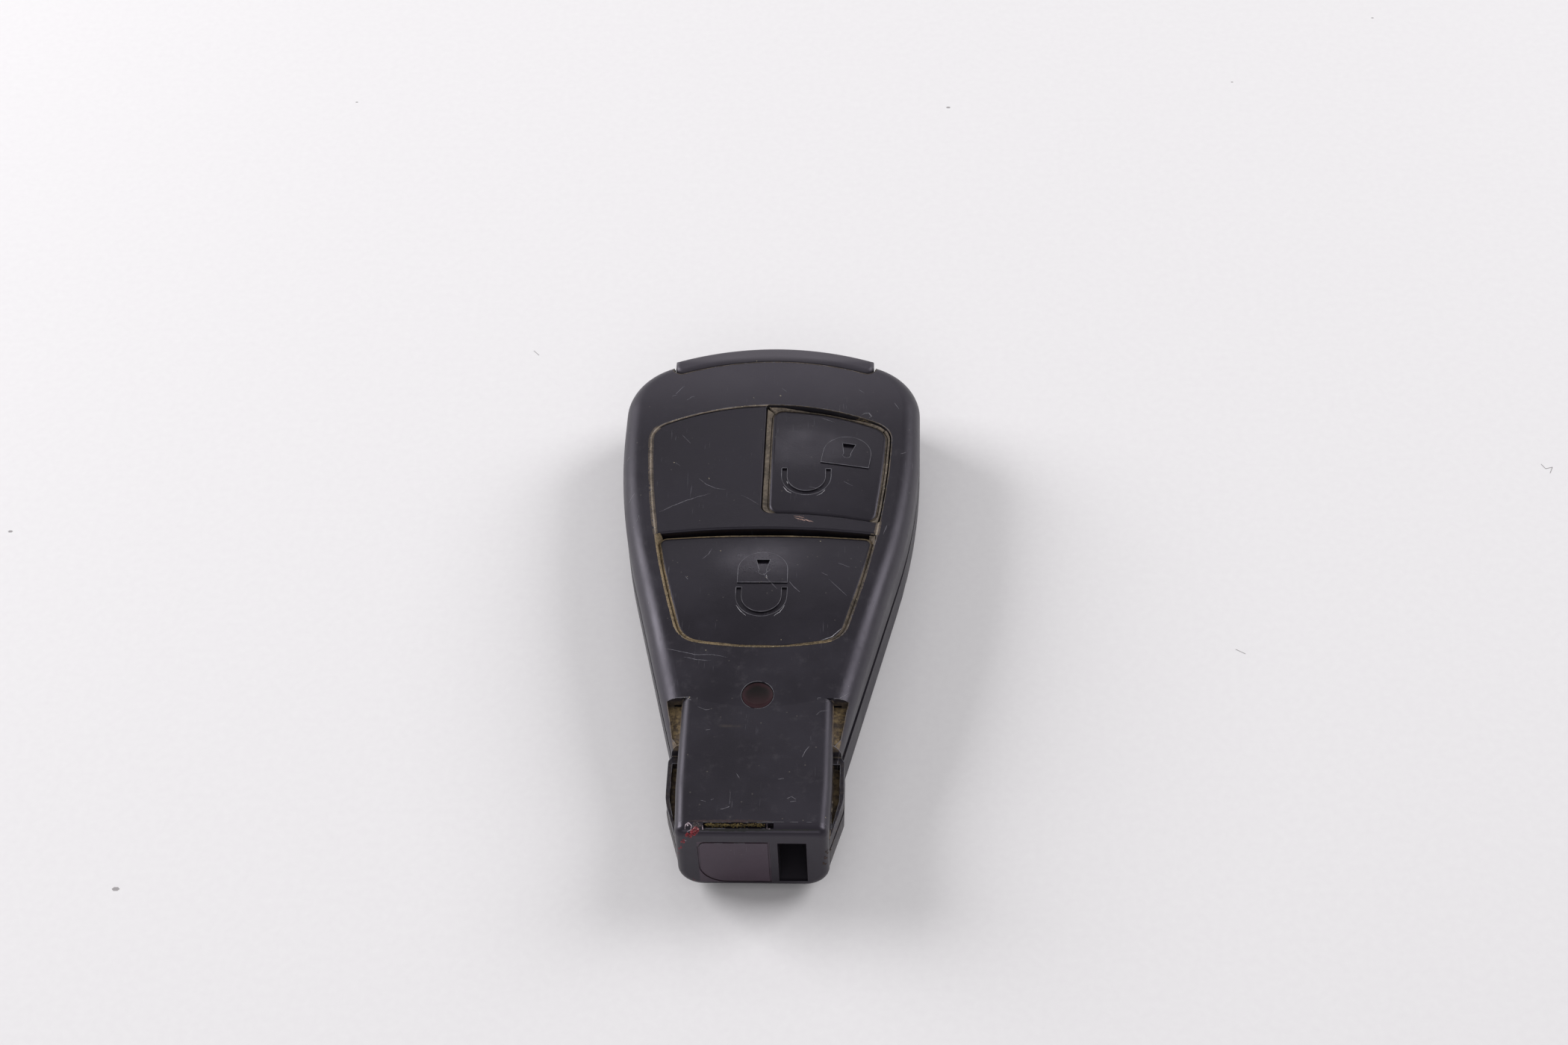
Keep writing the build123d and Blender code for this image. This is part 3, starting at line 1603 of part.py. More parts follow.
# Release catch of the emergency key
with BuildPart() as release_tab:
    with Locations((tab_end_x, tab_low_y, tab_low_z)):
        Box(
            tab_start_x - tab_end_x,
            tab_high_y - tab_low_y,
            tab_high_z - tab_low_z,
            align=(Align.MIN, Align.MIN, Align.MIN),
        )
    with Locations((bolt_end_x, bolt_low_y, tab_low_z)):
        Box(
            bolt_end_x - tab_start_x + snug_gap,
            bolt_high_y - bolt_low_y,
            tab_high_z - tab_low_z,
            align=(Align.MAX, Align.MIN, Align.MIN),
        )
    with Locations((thumb_low_x, thumb_low_y, thumb_low_z)):
        Box(
            thumb_high_x - thumb_low_x,
            thumb_high_y - thumb_low_y,
            tab_z - thumb_low_z,
            align=(Align.MIN, Align.MIN, Align.MIN),
        )
release_tab.part.label = "release_tab"
export_step(release_tab.part, "parts/release_tab.step")

spring_pitch = (spring_length - 2 * spring_wire_radius) / spring_turns

# Coil spring that pushes the catch back
with BuildPart() as latch_spring:
    with BuildLine() as spring_line:
        Helix(spring_pitch, spring_pitch * spring_turns, spring_radius)
    with BuildSketch(Plane(origin=spring_line.line @ 0, z_dir=spring_line.line % 0)):
        Circle(spring_wire_radius)
    sweep()
spring_start = (tab_end_x - spring_wire_radius, spring_y, tab_z)
spring_part = latch_spring.part.rotate(Axis.Y, -quarter_turn).translate(spring_start)
spring_part.label = "latch_spring"
export_step(spring_part, "parts/latch_spring.step")
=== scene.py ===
import math
import random

import bmesh
import bpy
from mathutils import Matrix, Vector, noise
from mathutils.bvhtree import BVHTree


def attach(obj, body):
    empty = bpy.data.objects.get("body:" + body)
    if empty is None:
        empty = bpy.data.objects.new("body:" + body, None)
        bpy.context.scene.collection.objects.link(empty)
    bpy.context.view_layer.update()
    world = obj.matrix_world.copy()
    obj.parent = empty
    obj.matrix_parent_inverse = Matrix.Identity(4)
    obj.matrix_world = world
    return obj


# %% [markdown]
# # A worn car key
#
# This lesson dresses the packed solids of a car key fob. The key is old: its black plastic is
# rubbed, its seams are packed with tan dust, and its nose is chipped. The solids already have the
# right forms, so most of the work is plastic that looks handled, and the dirt that gathers where a
# thumb can't reach.

# %% Load the solids and note their box
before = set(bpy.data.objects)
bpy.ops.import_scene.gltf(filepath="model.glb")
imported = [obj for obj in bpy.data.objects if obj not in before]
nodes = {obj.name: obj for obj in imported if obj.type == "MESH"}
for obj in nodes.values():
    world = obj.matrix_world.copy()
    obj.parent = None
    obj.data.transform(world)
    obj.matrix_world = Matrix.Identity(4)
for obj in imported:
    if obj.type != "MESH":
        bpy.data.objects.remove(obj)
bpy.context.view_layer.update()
MM = 0.001

# %% [markdown]
# ## Camera
#
# The photograph looks down at the key from the nose's end, about 48 degrees above the table, with
# a longish lens. Its place and its turn were solved from the key's symmetric outline and its flat
# underside. Its axes are kept, because marks that were read off the photograph in pixels are thrown
# back onto the solids along its rays.


# %% Place the camera
def new_object(name, data):
    thing = bpy.data.objects.new(name, data)
    bpy.context.scene.collection.objects.link(thing)
    return thing


LENS, SENSOR = 60.0, 36.0
PHOTO_WIDTH, PHOTO_HEIGHT = 2100, 1400
camera_data = bpy.data.cameras.new("camera")
camera_data.lens = LENS
camera_data.sensor_width = SENSOR
camera_data.clip_start = 0.01
camera = new_object("camera", camera_data)
eye = Vector((0.02019, -0.23561, 0.28545))
right = Vector((0.99883, 0.03435, -0.03423)).normalized()
nearly_up = Vector((-0.00268, 0.74392, 0.66825))
back = right.cross(nearly_up).normalized()
up = back.cross(right).normalized()
camera.matrix_world = Matrix.Translation(eye) @ Matrix((right, up, back)).transposed().to_4x4()
bpy.context.scene.camera = camera
print("camera height in mm:", round(eye.z / MM))

# %% [markdown]
# ## Node helpers
#
# Every material here is made of the same few moves: noise in object coordinates, a soft step, a
# mix. A small class keeps each of them to one line, so that a recipe reads like a recipe.


# %% Node helpers
class Nodes:
    """A short way to write shader nodes for one material."""

    def __init__(self, tree):
        self.tree = tree

    def fill(self, node, **values):
        """Sets or links inputs, by name with _ for blanks, or by _ and a number.

        A name in small letters is a setting of the node, and a hex code is a colour.
        """
        for key, value in values.items():
            if key.islower():
                setattr(node, key, value)
                continue
            socket = node.inputs[int(key[1:]) if key[0] == "_" else key.replace("_", " ")]
            if isinstance(value, bpy.types.NodeSocket):
                self.tree.links.new(value, socket)
            else:
                socket.default_value = colour(value) if isinstance(value, str) else value
        return node

    def add(self, kind, **values):
        return self.fill(self.tree.nodes.new("ShaderNode" + kind), **values)

    def math(self, kind, first, second=0.0, clamp=False):
        return self.add("Math", operation=kind, use_clamp=clamp, _0=first, _1=second).outputs[0]

    def chain(self, operation, parts):
        total = parts[0]
        for part in parts[1:]:
            total = self.math(operation, total, part)
        return total

    def times(self, *parts):
        return self.chain("MULTIPLY", parts)

    def plus(self, *parts):
        return self.chain("ADD", parts)

    def less(self, first, second):
        return self.math("SUBTRACT", first, second)

    def ramp(self, value, low, high, out_low=0.0, out_high=1.0):
        """A smooth step from out_low at low to out_high at high."""
        ends = {"_1": low, "_2": high, "_3": out_low, "_4": out_high}
        return self.add("MapRange", interpolation_type="SMOOTHSTEP", _0=value, **ends).outputs[0]

    def mix(self, share, first, second):
        return self.add("Mix", data_type="RGBA", _0=share, _6=first, _7=second).outputs[2]

    def over(self, body, mask, strength, tint):
        """A tint laid over a body where a mask says so."""
        return self.mix(self.times(mask, strength), body, tint)

    def place(self, scale=(1, 1, 1), turn=(0, 0, 0)):
        """Object coordinates in metres, stretched and turned."""
        coordinates = self.add("TexCoord").outputs["Object"]
        return self.add("Mapping", Vector=coordinates, Scale=scale, Rotation=turn).outputs[0]

    def axes(self):
        """The three object coordinates, in millimetres."""
        return self.add("SeparateXYZ", _0=self.place((1 / MM, 1 / MM, 1 / MM))).outputs

    def facing(self):
        """The three parts of the surface's own facing."""
        return self.add("SeparateXYZ", _0=self.add("NewGeometry").outputs["Normal"]).outputs

    def between(self, value, low, high, soft):
        """One between low and high, with soft ends."""
        rise = self.ramp(value, low - soft, low + soft)
        return self.times(rise, self.ramp(value, high - soft, high + soft, 1.0, 0.0))

    def noise(self, place, scale, detail=3.0, roughness=0.5):
        node = self.add("TexNoise", Vector=place, Scale=scale, Detail=detail, Roughness=roughness)
        return node.outputs["Fac"]

    def specks(self, place, scale, share, size=0.2):
        """Small round dots in a share of the cells of a Voronoi pattern."""
        cells = self.add("TexVoronoi", Vector=place, Scale=scale)
        pick = self.add("SeparateColor", _0=cells.outputs["Color"]).outputs[0]
        dot = self.ramp(cells.outputs["Distance"], size * 0.5, size, 1.0, 0.0)
        return self.times(dot, self.ramp(pick, 1.0 - share, 1.02 - share))

    def bump(self, height, strength, distance, normal=None):
        node = self.add("Bump", Strength=strength, Distance=distance, Height=height)
        if normal is not None:
            self.fill(node, Normal=normal)
        return node.outputs[0]


def colour(text):
    """A shader colour from the hex code of what the eye sees."""
    parts = [int(text[i : i + 2], 16) / 255 for i in (1, 3, 5)]
    linear = [c / 12.92 if c <= 0.04045 else ((c + 0.055) / 1.055) ** 2.4 for c in parts]
    return (*linear, 1.0)


# The lesson's own materials. The solids bring some of the same names, so Blender's list won't do.
stuff = {}


def start_material(name):
    """The shader and the node helper of a new material."""
    material = stuff[name] = bpy.data.materials.new(name)
    material.use_nodes = True
    return material.node_tree.nodes["Principled BSDF"], Nodes(material.node_tree)


def mottled(name, dark, light, scale, rough, detail=3.0):
    """Plain stuff whose tone changes a little from place to place."""
    shader, make = start_material(name)
    tone = make.noise(make.place(), scale, detail)
    make.fill(shader, Base_Color=make.mix(tone, dark, light), Roughness=rough)


print("moves in the node helper:", sum(key[0] != "_" for key in vars(Nodes)))

# %% [markdown]
# ## Table and light
#
# The table is a sheet of pale matt paper. A large soft light stands at the left and a weaker one at
# the right, both a little behind the key, so it throws a soft shadow to each side, the wider one to
# the right, and its rounded flanks catch a pale rim. A small light behind the wide end is what the
# polished middle of each button mirrors, and a broad weak one in front opens up the nose's face.
# The world stays dim, because a bright one would turn black plastic grey.


# %% Lay the table and set the lights
def stage_piece(name, form, material):
    mesh = bpy.data.meshes.new(name)
    form.to_mesh(mesh)
    form.free()
    mesh.materials.append(stuff[material])
    piece = new_object(name, mesh)


TABLE_HALF_SIDE = 1.5
table_form = bmesh.new()
bmesh.ops.create_grid(table_form, x_segments=8, y_segments=8, size=TABLE_HALF_SIDE)
mottled("table_paper", "#e0dde0", "#e6e4e6", 900.0, 0.8, 4.0)
stage_piece("table", table_form, "table_paper")

# Each light has its place in metres, its width and height, and its power in watts.
lights = (
    ("left_light", (-0.74, 0.3, 0.44), (0.5, 0.5), 7.0),
    ("right_light", (0.7, 0.34, 0.56), (0.5, 0.55), 5.0),
    ("rear_light", (-0.04, 0.92, 0.74), (0.22, 0.14), 0.45),
    ("front_light", (0.0, -0.9, 0.6), (0.9, 0.4), 1.7),
)
for name, place, (width, height), power in lights:
    data = bpy.data.lights.new(name, "AREA")
    data.shape = "RECTANGLE"
    data.size, data.size_y, data.energy = width, height, power
    light = new_object(name, data)
    light.location = place
    light.rotation_euler = (-Vector(place)).to_track_quat("-Z", "Y").to_euler()

WORLD_LEVEL = 0.33
world = bpy.data.worlds.new("studio")
world.use_nodes = True
sky = world.node_tree.nodes["Background"].inputs
sky["Color"].default_value, sky["Strength"].default_value = (1, 1, 1, 1), WORLD_LEVEL
bpy.context.scene.world = world
bpy.context.scene.view_settings.view_transform = "Standard"
print("lights:", len(lights))

# %% [markdown]
# ## Plastics
#
# Moulded black plastic is never one flat black. Skin oils polish it in patches, hard grit draws
# fine hair lines in all directions, and pale dust sits in its texture. One recipe makes each
# plastic, with its own share of each. The polish is a lower roughness, not a paler colour: that way
# the haze follows the light when the key turns.

# %% The recipe for handled plastic
SHEEN_OF_PLASTIC = (0.9, 0.83, 1.0, 1.0)
HAZE_TINT, HAIRLINE_TINT, SPECK_TINT = "#6a6668", "#7c7a82", "#8d877c"
# Each set of hair lines has its angle, the length of its lines as a noise scale, and a shift.
HAIRLINES = ((0.35, 260.0, 0.0), (-0.8, 320.0, 0.3), (1.25, 240.0, 0.7), (-1.4, 280.0, 0.9))
HAIRLINE_FINENESS = 6200.0


def plastic(name, dark, light, rough, haze, specks, hairlines, grain, extra=None):
    """Moulded plastic with polish patches, dust in its texture and hair scratches."""
    shader, make = start_material(name)
    place = make.place()
    patches = make.ramp(make.noise(place, 90.0, 5.0, 0.6), 0.35, 0.68)
    body = make.mix(patches, dark, light)
    fine = make.ramp(make.noise(place, 650.0, 6.0, 0.7), 0.52, 0.8)
    body = make.over(body, fine, 0.22 * haze, HAZE_TINT)
    fields = make.ramp(make.noise(place, 160.0, 2.0), 0.5, 0.62)
    streaks = []
    for angle, length, shift in HAIRLINES:
        turn = (shift, shift * 0.5, angle)
        stretched = make.place((HAIRLINE_FINENESS, length, length), turn)
        streaks.append(make.ramp(make.noise(stretched, 1.0, 1.0), 0.75, 0.8))
    lines = make.times(make.chain("MAXIMUM", streaks), fields)
    body = make.over(body, lines, 0.45 * hairlines, HAIRLINE_TINT)
    speck = make.specks(place, 1500.0, 0.05 + 0.1 * specks)
    body = make.over(body, speck, 0.55 * specks, SPECK_TINT)
    level = make.plus(make.times(patches, 0.1), rough - 0.05)
    level = make.plus(level, make.times(fine, 0.24 * haze))
    if extra is not None:
        body, level = extra(make, body, level)
    texture = make.noise(place, 4200.0, 3.0)
    normal = make.bump(texture, 0.3 * grain, 0.00006)
    normal = make.bump(make.noise(place, 260.0, 3.0), 0.2, 0.00012, normal)
    normal = make.bump(make.times(lines, -1.0), 0.25 * hairlines, 0.00004, normal)
    make.fill(shader, Base_Color=body, Roughness=level, Normal=normal, Specular_Tint=SHEEN_OF_PLASTIC)


print("sets of hair lines:", len(HAIRLINES))

# %% [markdown]
# ## Dirt that follows the form
#
# Dust lies in the pockets beside the nose and in the troughs of its wings. These places are known
# from the solids, so a mask in object coordinates is enough: a range in x, y and z with soft ends,
# broken up by noise. In a trough the dust keeps to the floor and to the nose's own wall, or it would
# spill over the flank outside. Because the mask belongs to the plastic's own material, the dust
# can't float or slide.

# %% Masks for the casing, in millimetres
DUST_GOLD, DUST_BROWN, FLANK_DUST, NOSE_LINE_DUST = "#9a8560", "#4d4235", "#5d5242", "#5a5145"
# The three tones below are painted sheen and a painted highlight: paler tones for the wide end, the bar's
# top and the flanks.
PAINTED_SHEEN_END, PAINTED_HIGHLIGHT_BAR, PAINTED_SHEEN_FLANK = "#39363c", "#4e4b50", "#3b393f"
POCKET = {"x": (9.2, 12.1), "y": (-29.4, -22.2), "z": (10.5, 12.2)}
POCKET_SLANT = 0.173
TROUGH = {"x": (10.0, 11.25), "y": (-41.0, -29.6), "z": (7.6, 9.0)}
TROUGH_WALL = (10.15, 10.3)
NOSE_LINE = {"x": (-8.0, -1.5), "y": (-27.15, -26.75)}
WIDE_END, BAR = (26.0, 40.0), (40.3, 41.6)


def casing_dirt_and_painted_sheen(make, body, level):
    """Dust in the pockets and troughs, a line over the nose, and painted sheen on the end, bar and flanks.
    """
    x, y, z = make.axes()
    side = make.math("ABSOLUTE", x)
    place = make.place()
    clump = make.noise(place, 1400.0, 5.0, 0.65)
    broad = make.noise(place, 420.0, 3.0)
    dust = make.mix(make.ramp(clump, 0.35, 0.7), DUST_BROWN, DUST_GOLD)
    slant = make.times(make.less(POCKET["y"][1], y), POCKET_SLANT)
    flat = make.ramp(make.facing()[2], 0.3, 0.6)
    in_trough = make.math("MAXIMUM", flat, make.ramp(side, *TROUGH_WALL, 1.0, 0.0))
    zones = ((POCKET, 1.1, make.plus(side, slant), 1.0), (TROUGH, 0.8, side, in_trough))
    for zone, power, reach, where in zones:
        mask = make.times(
            make.between(reach, *zone["x"], 0.1),
            make.between(y, *zone["y"], 0.12),
            make.between(z, *zone["z"], 0.25),
            make.ramp(broad, 0.25, 0.55, 0.45, 1.0),
            where,
        )
        body = make.mix(make.math("MULTIPLY", mask, power, True), body, dust)
        level = make.plus(level, make.times(mask, 0.4))
    beside_nose = make.times(make.ramp(y, -30.0, -25.0, 1.0, 0.0), make.ramp(side, 9.2, 10.1))
    flank = make.times(beside_nose, make.ramp(z, 12.6, 11.2), make.ramp(clump, 0.42, 0.66))
    body = make.over(body, flank, 0.28, FLANK_DUST)
    line = make.times(
        make.between(y, *NOSE_LINE["y"], 0.18),
        make.between(x, *NOSE_LINE["x"], 0.8),
        make.ramp(z, 12.2, 12.8),
        make.ramp(broad, 0.42, 0.6),
    )
    body = make.over(body, line, 0.2, NOSE_LINE_DUST)
    # Painted sheen: the upper part of the wide end is painted paler, for the light its crowned surface
    # catches.
    wide = make.times(make.ramp(y, *WIDE_END), make.ramp(z, 11.0, 13.0))
    body = make.over(body, wide, 0.8, PAINTED_SHEEN_END)
    # Painted highlight: the top of the bar is painted paler.
    body = make.over(body, make.ramp(y, *BAR), 0.85, PAINTED_HIGHLIGHT_BAR)
    # Painted sheen: surfaces that lean away from up, on the flanks, are painted paler in patches.
    lean = make.ramp(make.facing()[2], 0.25, 0.9, 1.0, 0.0)
    painted_flank_sheen = make.times(lean, make.ramp(z, 7.0, 11.0), make.ramp(broad, 0.2, 0.6, 0.6, 1.0))
    return make.over(body, painted_flank_sheen, 0.4, PAINTED_SHEEN_FLANK), level


print("mask ready:", casing_dirt_and_painted_sheen.__name__)

# %% Polish on the buttons and the parts of the window, in millimetres
POLISHED_SPOTS = ((-0.2, 1.2), (5.0, 22.6))
POLISH_WIDTH, POLISH_LENGTH = 7.5, 5.0
WINDOW = {"x": (-7.0, 2.3), "z": (1.9, 10.8)}
SLOT = {"x": (3.25, 7.05), "z": (2.15, 10.65)}
WINDOW_BORDER, SLOT_WALLS_PAINTED_LIGHT = "#1a171d", "#37343a"


def thumb_polish(make, body, level):
    """The middle of each button, polished by the thumb, above its padlock."""
    x, y, _ = make.axes()
    spots = []
    for centre_x, centre_y in POLISHED_SPOTS:
        across = make.math("DIVIDE", make.less(x, centre_x), POLISH_WIDTH)
        along = make.math("DIVIDE", make.less(y, centre_y), POLISH_LENGTH)
        reach = make.plus(make.times(across, across), make.times(along, along))
        spots.append(make.ramp(reach, 0.1, 1.4, 1.0, 0.0))
    return body, make.less(level, make.times(make.chain("MAXIMUM", spots), 0.12))


def window_parts(make, body, level):
    """The window's border is greyer than its middle, and the slot's walls get painted light."""
    x, y, z = make.axes()
    middle = make.times(make.between(x, *WINDOW["x"], 0.1), make.between(z, *WINDOW["z"], 0.1))
    body = make.mix(middle, WINDOW_BORDER, body)
    # Painted light: inside the slot the walls are painted paler, as if lit from the front.
    inside = make.times(
        make.between(x, *SLOT["x"], 0.05),
        make.ramp(y, -43.7, -43.2),
        make.between(z, *SLOT["z"], 0.05),
    )
    return make.mix(inside, body, SLOT_WALLS_PAINTED_LIGHT), level


# Each plastic has two tones, its roughness, and its shares of haze, specks, hair lines and grain.
plastic("shell_plastic", "#0f0d12", "#18161c", 0.44, 0.5, 0.35, 0.6, 0.45, casing_dirt_and_painted_sheen)
plastic("button_plastic", "#0e0c11", "#141218", 0.43, 0.15, 0.25, 0.5, 0.5, thumb_polish)
plastic("window_plastic", "#33262f", "#3d2f39", 0.34, 0.2, 0.2, 0.4, 0.15, window_parts)
plastic("inner_plastic", "#1d1d1f", "#29292b", 0.55, 0.1, 0.1, 0.1, 0.6)
plastic("sheet_rubber", "#1b1b1b", "#272727", 0.75, 0.1, 0.1, 0.0, 0.8)
print("materials so far:", len(stuff))

# %% [markdown]
# ## Lens, metals, board and ferrite
#
# What lies inside the key shows when the emergency key or the battery cover comes out. Steel and
# brass differ from plastic in one number above all, Metallic, and in the fine lengthwise grain that
# rolling leaves. The board's edge can be seen through the side seam where the shoulder meets the
# wing, so it is painted near black there, as painted shade inside the seam.


# %% Lens, metals and board
def metal(name, tint, rough, scratch=0.4):
    """Rolled or plated metal with fine grain along its length."""
    shader, make = start_material(name)
    grain = make.noise(make.place((2600.0, 90.0, 2600.0)), 1.0, 3.0)
    shine = make.ramp(grain, 0.3, 0.9, 0.0, 0.2)
    make.fill(shader, Base_Color=make.mix(shine, tint, (1, 1, 1, 1)), Metallic=1.0)
    level, normal = make.plus(make.times(grain, 0.16), rough), make.bump(grain, scratch, 0.00003)
    make.fill(shader, Roughness=level, Normal=normal)


metal("blade_steel", "#b9b8b4", 0.28)
metal("cell_steel", "#c9c8c4", 0.22, 0.2)
metal("contact_brass", "#c8a866", 0.3, 0.2)
metal("copper_winding", "#a4602f", 0.35, 0.8)

LAMP_Y = -21.87
shader, make = start_material("lens_resin")
x, y, _ = make.axes()
along = make.less(y, LAMP_Y)
radius = make.math("SQRT", make.plus(make.times(x, x), make.times(along, along)))
rim = make.ramp(make.plus(radius, make.noise(make.place(), 700.0, 3.0)), 1.7, 2.5)
# Painted shade: the lens's core is painted lighter at its near side and darker at its far side.
core = make.mix(make.ramp(along, -1.6, 1.2), "#22090f", "#0c0607")
tint = make.mix(rim, core, "#2a1319")
make.fill(shader, Base_Color=tint, Roughness=0.45, Specular_IOR_Level=0.25)

shader, make = start_material("board_laminate")
tracks = make.add("TexBrick", Vector=make.place(), Scale=420.0, Mortar_Size=0.012)
make.fill(tracks, Color1="#124a2c", Color2="#155535", Mortar="#2b7a50")
x, y, _ = make.axes()
across = make.ramp(make.math("ABSOLUTE", x), 7.0, 8.0)
# Painted shade: where the board's edge shows through the side seam beside the nose, it is painted near
# black.
beside_nose = make.times(make.ramp(y, -25.5, -24.5, 1.0, 0.0), across)
tint = make.mix(beside_nose, tracks.outputs["Color"], "#15161a")
make.fill(shader, Base_Color=tint, Roughness=0.35)

mottled("light_resin", "#c9c4b8", "#e2ddd0", 900.0, 0.15)
mottled("ferrite", "#2a2a2d", "#3a3a3e", 2500.0, 0.6)
print("materials so far:", len(stuff))

# %% Give each solid its finish
finishes = {
    "shell_plastic": ("front_shell", "back_shell", "key_head", "battery_cover"),
    "button_plastic": ("lock_button", "unlock_button", "blank_panel"),
    "window_plastic": ("nose_window",),
    "inner_plastic": (
        "inner_frame", "lock_switch", "unlock_switch", "lock_plunger", "unlock_plunger",
        "release_tab", "controller_chip",
    ),
    "sheet_rubber": ("keypad_sheet",),
    "lens_resin": ("led_lens",),
    "blade_steel": ("key_blade", "lock_snap_disc", "unlock_snap_disc", "latch_spring"),
    "cell_steel": ("coin_cell_near_ring", "coin_cell_near_nose", "radio_resonator"),
    "contact_brass": ("contact_positive", "contact_negative", "battery_link"),
    "copper_winding": ("pickup_coil",),
    "board_laminate": ("circuit_board",),
    "light_resin": ("indicator_led", "infrared_leds"),
    "ferrite": ("ferrite_core",),
}
for finish, names in finishes.items():
    for name in names:
        slots = nodes[name].data.materials
        slots.clear()
        slots.append(stuff[finish])
print("finished solids:", sum(len(names) for names in finishes.values()), "of", len(nodes))

# %% [markdown]
# ## Reading the solids
#
# Dust and scratches have to lie on the solids to a hundredth of a millimetre. A BVH tree answers the
# one question that this needs: what does a ray hit first? The same tree serves a ray from above, a
# level ray that measures the width of a seam, and a ray from the camera through a pixel of the
# photograph.


# %% Trees, edges and rays
def welded(name):
    """A solid's faces with its split corners joined, as a bmesh."""
    form = bmesh.new()
    form.from_mesh(nodes[name].data)
    bmesh.ops.remove_doubles(form, verts=form.verts, dist=0.002 * MM)
    form.normal_update()
    return form


def tree_of(*names):
    points, faces = [], []
    for name in names:
        mesh = nodes[name].data
        start = len(points)
        points.extend(v.co.copy() for v in mesh.vertices)
        faces.extend([start + i for i in p.vertices] for p in mesh.polygons)
    return BVHTree.FromPolygons(points, faces)


buttons = ("lock_button", "unlock_button", "blank_panel")
outside_tree = tree_of("front_shell", "back_shell", "nose_window", *buttons, "led_lens", "key_head")
fixed_tree = tree_of("front_shell", "back_shell", "blank_panel")
DOWN, UPWARD = Vector((0, 0, -1)), Vector((0, 0, 1))
OVER_KEY = 20 * MM


def under(x, y):
    """The place of the first surface straight under a point, or None."""
    return outside_tree.ray_cast(Vector((x, y, OVER_KEY)), DOWN)[0]


def ray_through(u, v):
    """The direction in which the camera sees a pixel of the photograph."""
    across = (u - PHOTO_WIDTH / 2) / PHOTO_WIDTH * SENSOR / LENS
    along = (PHOTO_HEIGHT / 2 - v) / PHOTO_WIDTH * SENSOR / LENS
    return right * across + up * along - back


def seen_at(pixel):
    """The place and the facing of what the photograph shows at a pixel."""
    return outside_tree.ray_cast(eye, ray_through(*pixel).normalized())[:2]


print("the key is", round(under(0, 0).z / MM, 2), "mm high in its middle")

# %% [markdown]
# ## Dust, grit and chips
#
# Packed dust is matt and granular, tan where it is dry and gold-brown where it has taken up grease.
# Grains are tiny blobs of the same stuff. A scuff is only plastic that has lost its polish, so its
# material is the shell's, paler.


# %% Materials of the small pieces
def dusty(name, dark, light, rough=0.9):
    shader, make = start_material(name)
    place = make.place()
    grains = make.noise(place, 2600.0, 5.0, 0.7)
    broad = make.noise(place, 420.0, 3.0)
    tone = make.ramp(make.plus(make.times(grains, 0.6), make.times(broad, 0.4)), 0.36, 0.62)
    normal = make.bump(grains, 0.9, 0.00008)
    make.fill(shader, Base_Color=make.mix(tone, dark, light), Roughness=rough, Normal=normal)


# Each has its dark and its light tone, and its roughness where that isn't 0.9.
LOOKS = {
    "packed_dust": ("#3b342e", "#6a5f54"),
    "brown_dust": ("#342d29", "#554b44"),
    "gold_dust": ("#514636", "#8f7d62"),
    "bright_dust": ("#5f5449", "#877b6e"),
    "pale_grain": ("#8d8370", "#bdb298"),
    "worn_plastic_and_painted_highlight": ("#4a484e", "#6c6a72", 0.55),
    "scuffed_plastic": ("#45434a", "#6d6a73", 0.6),
    "bright_edge": ("#8a888e", "#b5b3b9", 0.4),
    "pink_scuff": ("#65504c", "#9c8179", 0.7),
    "red_resin": ("#4a0814", "#9c1428", 0.35),
    "pale_resin_and_painted_glint": ("#8d7a84", "#cfc0ca", 0.3),
    "dark_red": ("#16080c", "#2a1016", 0.5),
    "dirt_brown": ("#1e1512", "#3a2a24", 0.8),
    "painted_shadow_black": ("#060506", "#0f0c0f", 0.6),
    "groove_dirt": ("#57492f", "#b29c66", 0.8),
}
for name, look in LOOKS.items():
    dusty(name, *look)
print("materials so far:", len(stuff))


# %% A mesh builder that rides on a body
STONE_CORNERS, STONE_STEP, WHOLE_TURN = 5, 1.2566, 6.3


class Pile:
    """Collects small faces and turns them into one piece on a body."""

    def __init__(self, name, material, body="casing"):
        self.name, self.material, self.body = name, material, body
        self.points, self.faces = [], []

    def grid(self, rows, fewest=2):
        """Quads between rows of points that have one length, if there are enough rows."""
        if len(rows) < fewest:
            return
        start, width = len(self.points), len(rows[0])
        for row in rows:
            self.points.extend(row)
        for i in range(len(rows) - 1):
            for k in range(width - 1):
                a = start + i * width + k
                self.faces.append((a, a + width, a + width + 1, a + 1))

    def blob(self, place, facing, size, flat=0.6):
        """A grain: a squashed stone with five jittered corners, a top and a foot."""
        side = facing.orthogonal().normalized()
        other = facing.cross(side)
        start = len(self.points)
        spin = random.random() * WHOLE_TURN
        for step in range(STONE_CORNERS):
            angle = spin + step * STONE_STEP
            reach = size * random.uniform(0.7, 1.15)
            self.points.append(place + (side * math.cos(angle) + other * math.sin(angle)) * reach)
        self.points.append(place + facing * size * flat)
        self.points.append(place - facing * size * 0.3)
        top, foot = start + STONE_CORNERS, start + STONE_CORNERS + 1
        for step in range(STONE_CORNERS):
            here, onward = start + step, start + (step + 1) % STONE_CORNERS
            self.faces.append((here, onward, top))
            self.faces.append((onward, here, foot))

    def finish(self):
        mesh = bpy.data.meshes.new(self.name)
        mesh.from_pydata([tuple(p) for p in self.points], [], self.faces)
        mesh.materials.append(stuff[self.material])
        mesh.update()
        piece = new_object(self.name, mesh)
        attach(piece, self.body)
        print(self.name, "faces:", len(self.faces))


# %% [markdown]
# ## Dust in the seams
#
# The gap round each button is filled with packed dust almost to the top. Modelling each seam by hand
# would never match the solids, so the solids are measured instead: a level cut gives the button's
# outline, and from each of its points a level ray finds the wall across the gap. The dust is a strip
# of quads between the two, higher at the wall and lumpy from noise. It stays clear of the button and
# of the bead of dust on the button's edge, so that the button still moves freely.


# %% Cut a solid level and walk round the cut
WALK_STEP = 0.12 * MM


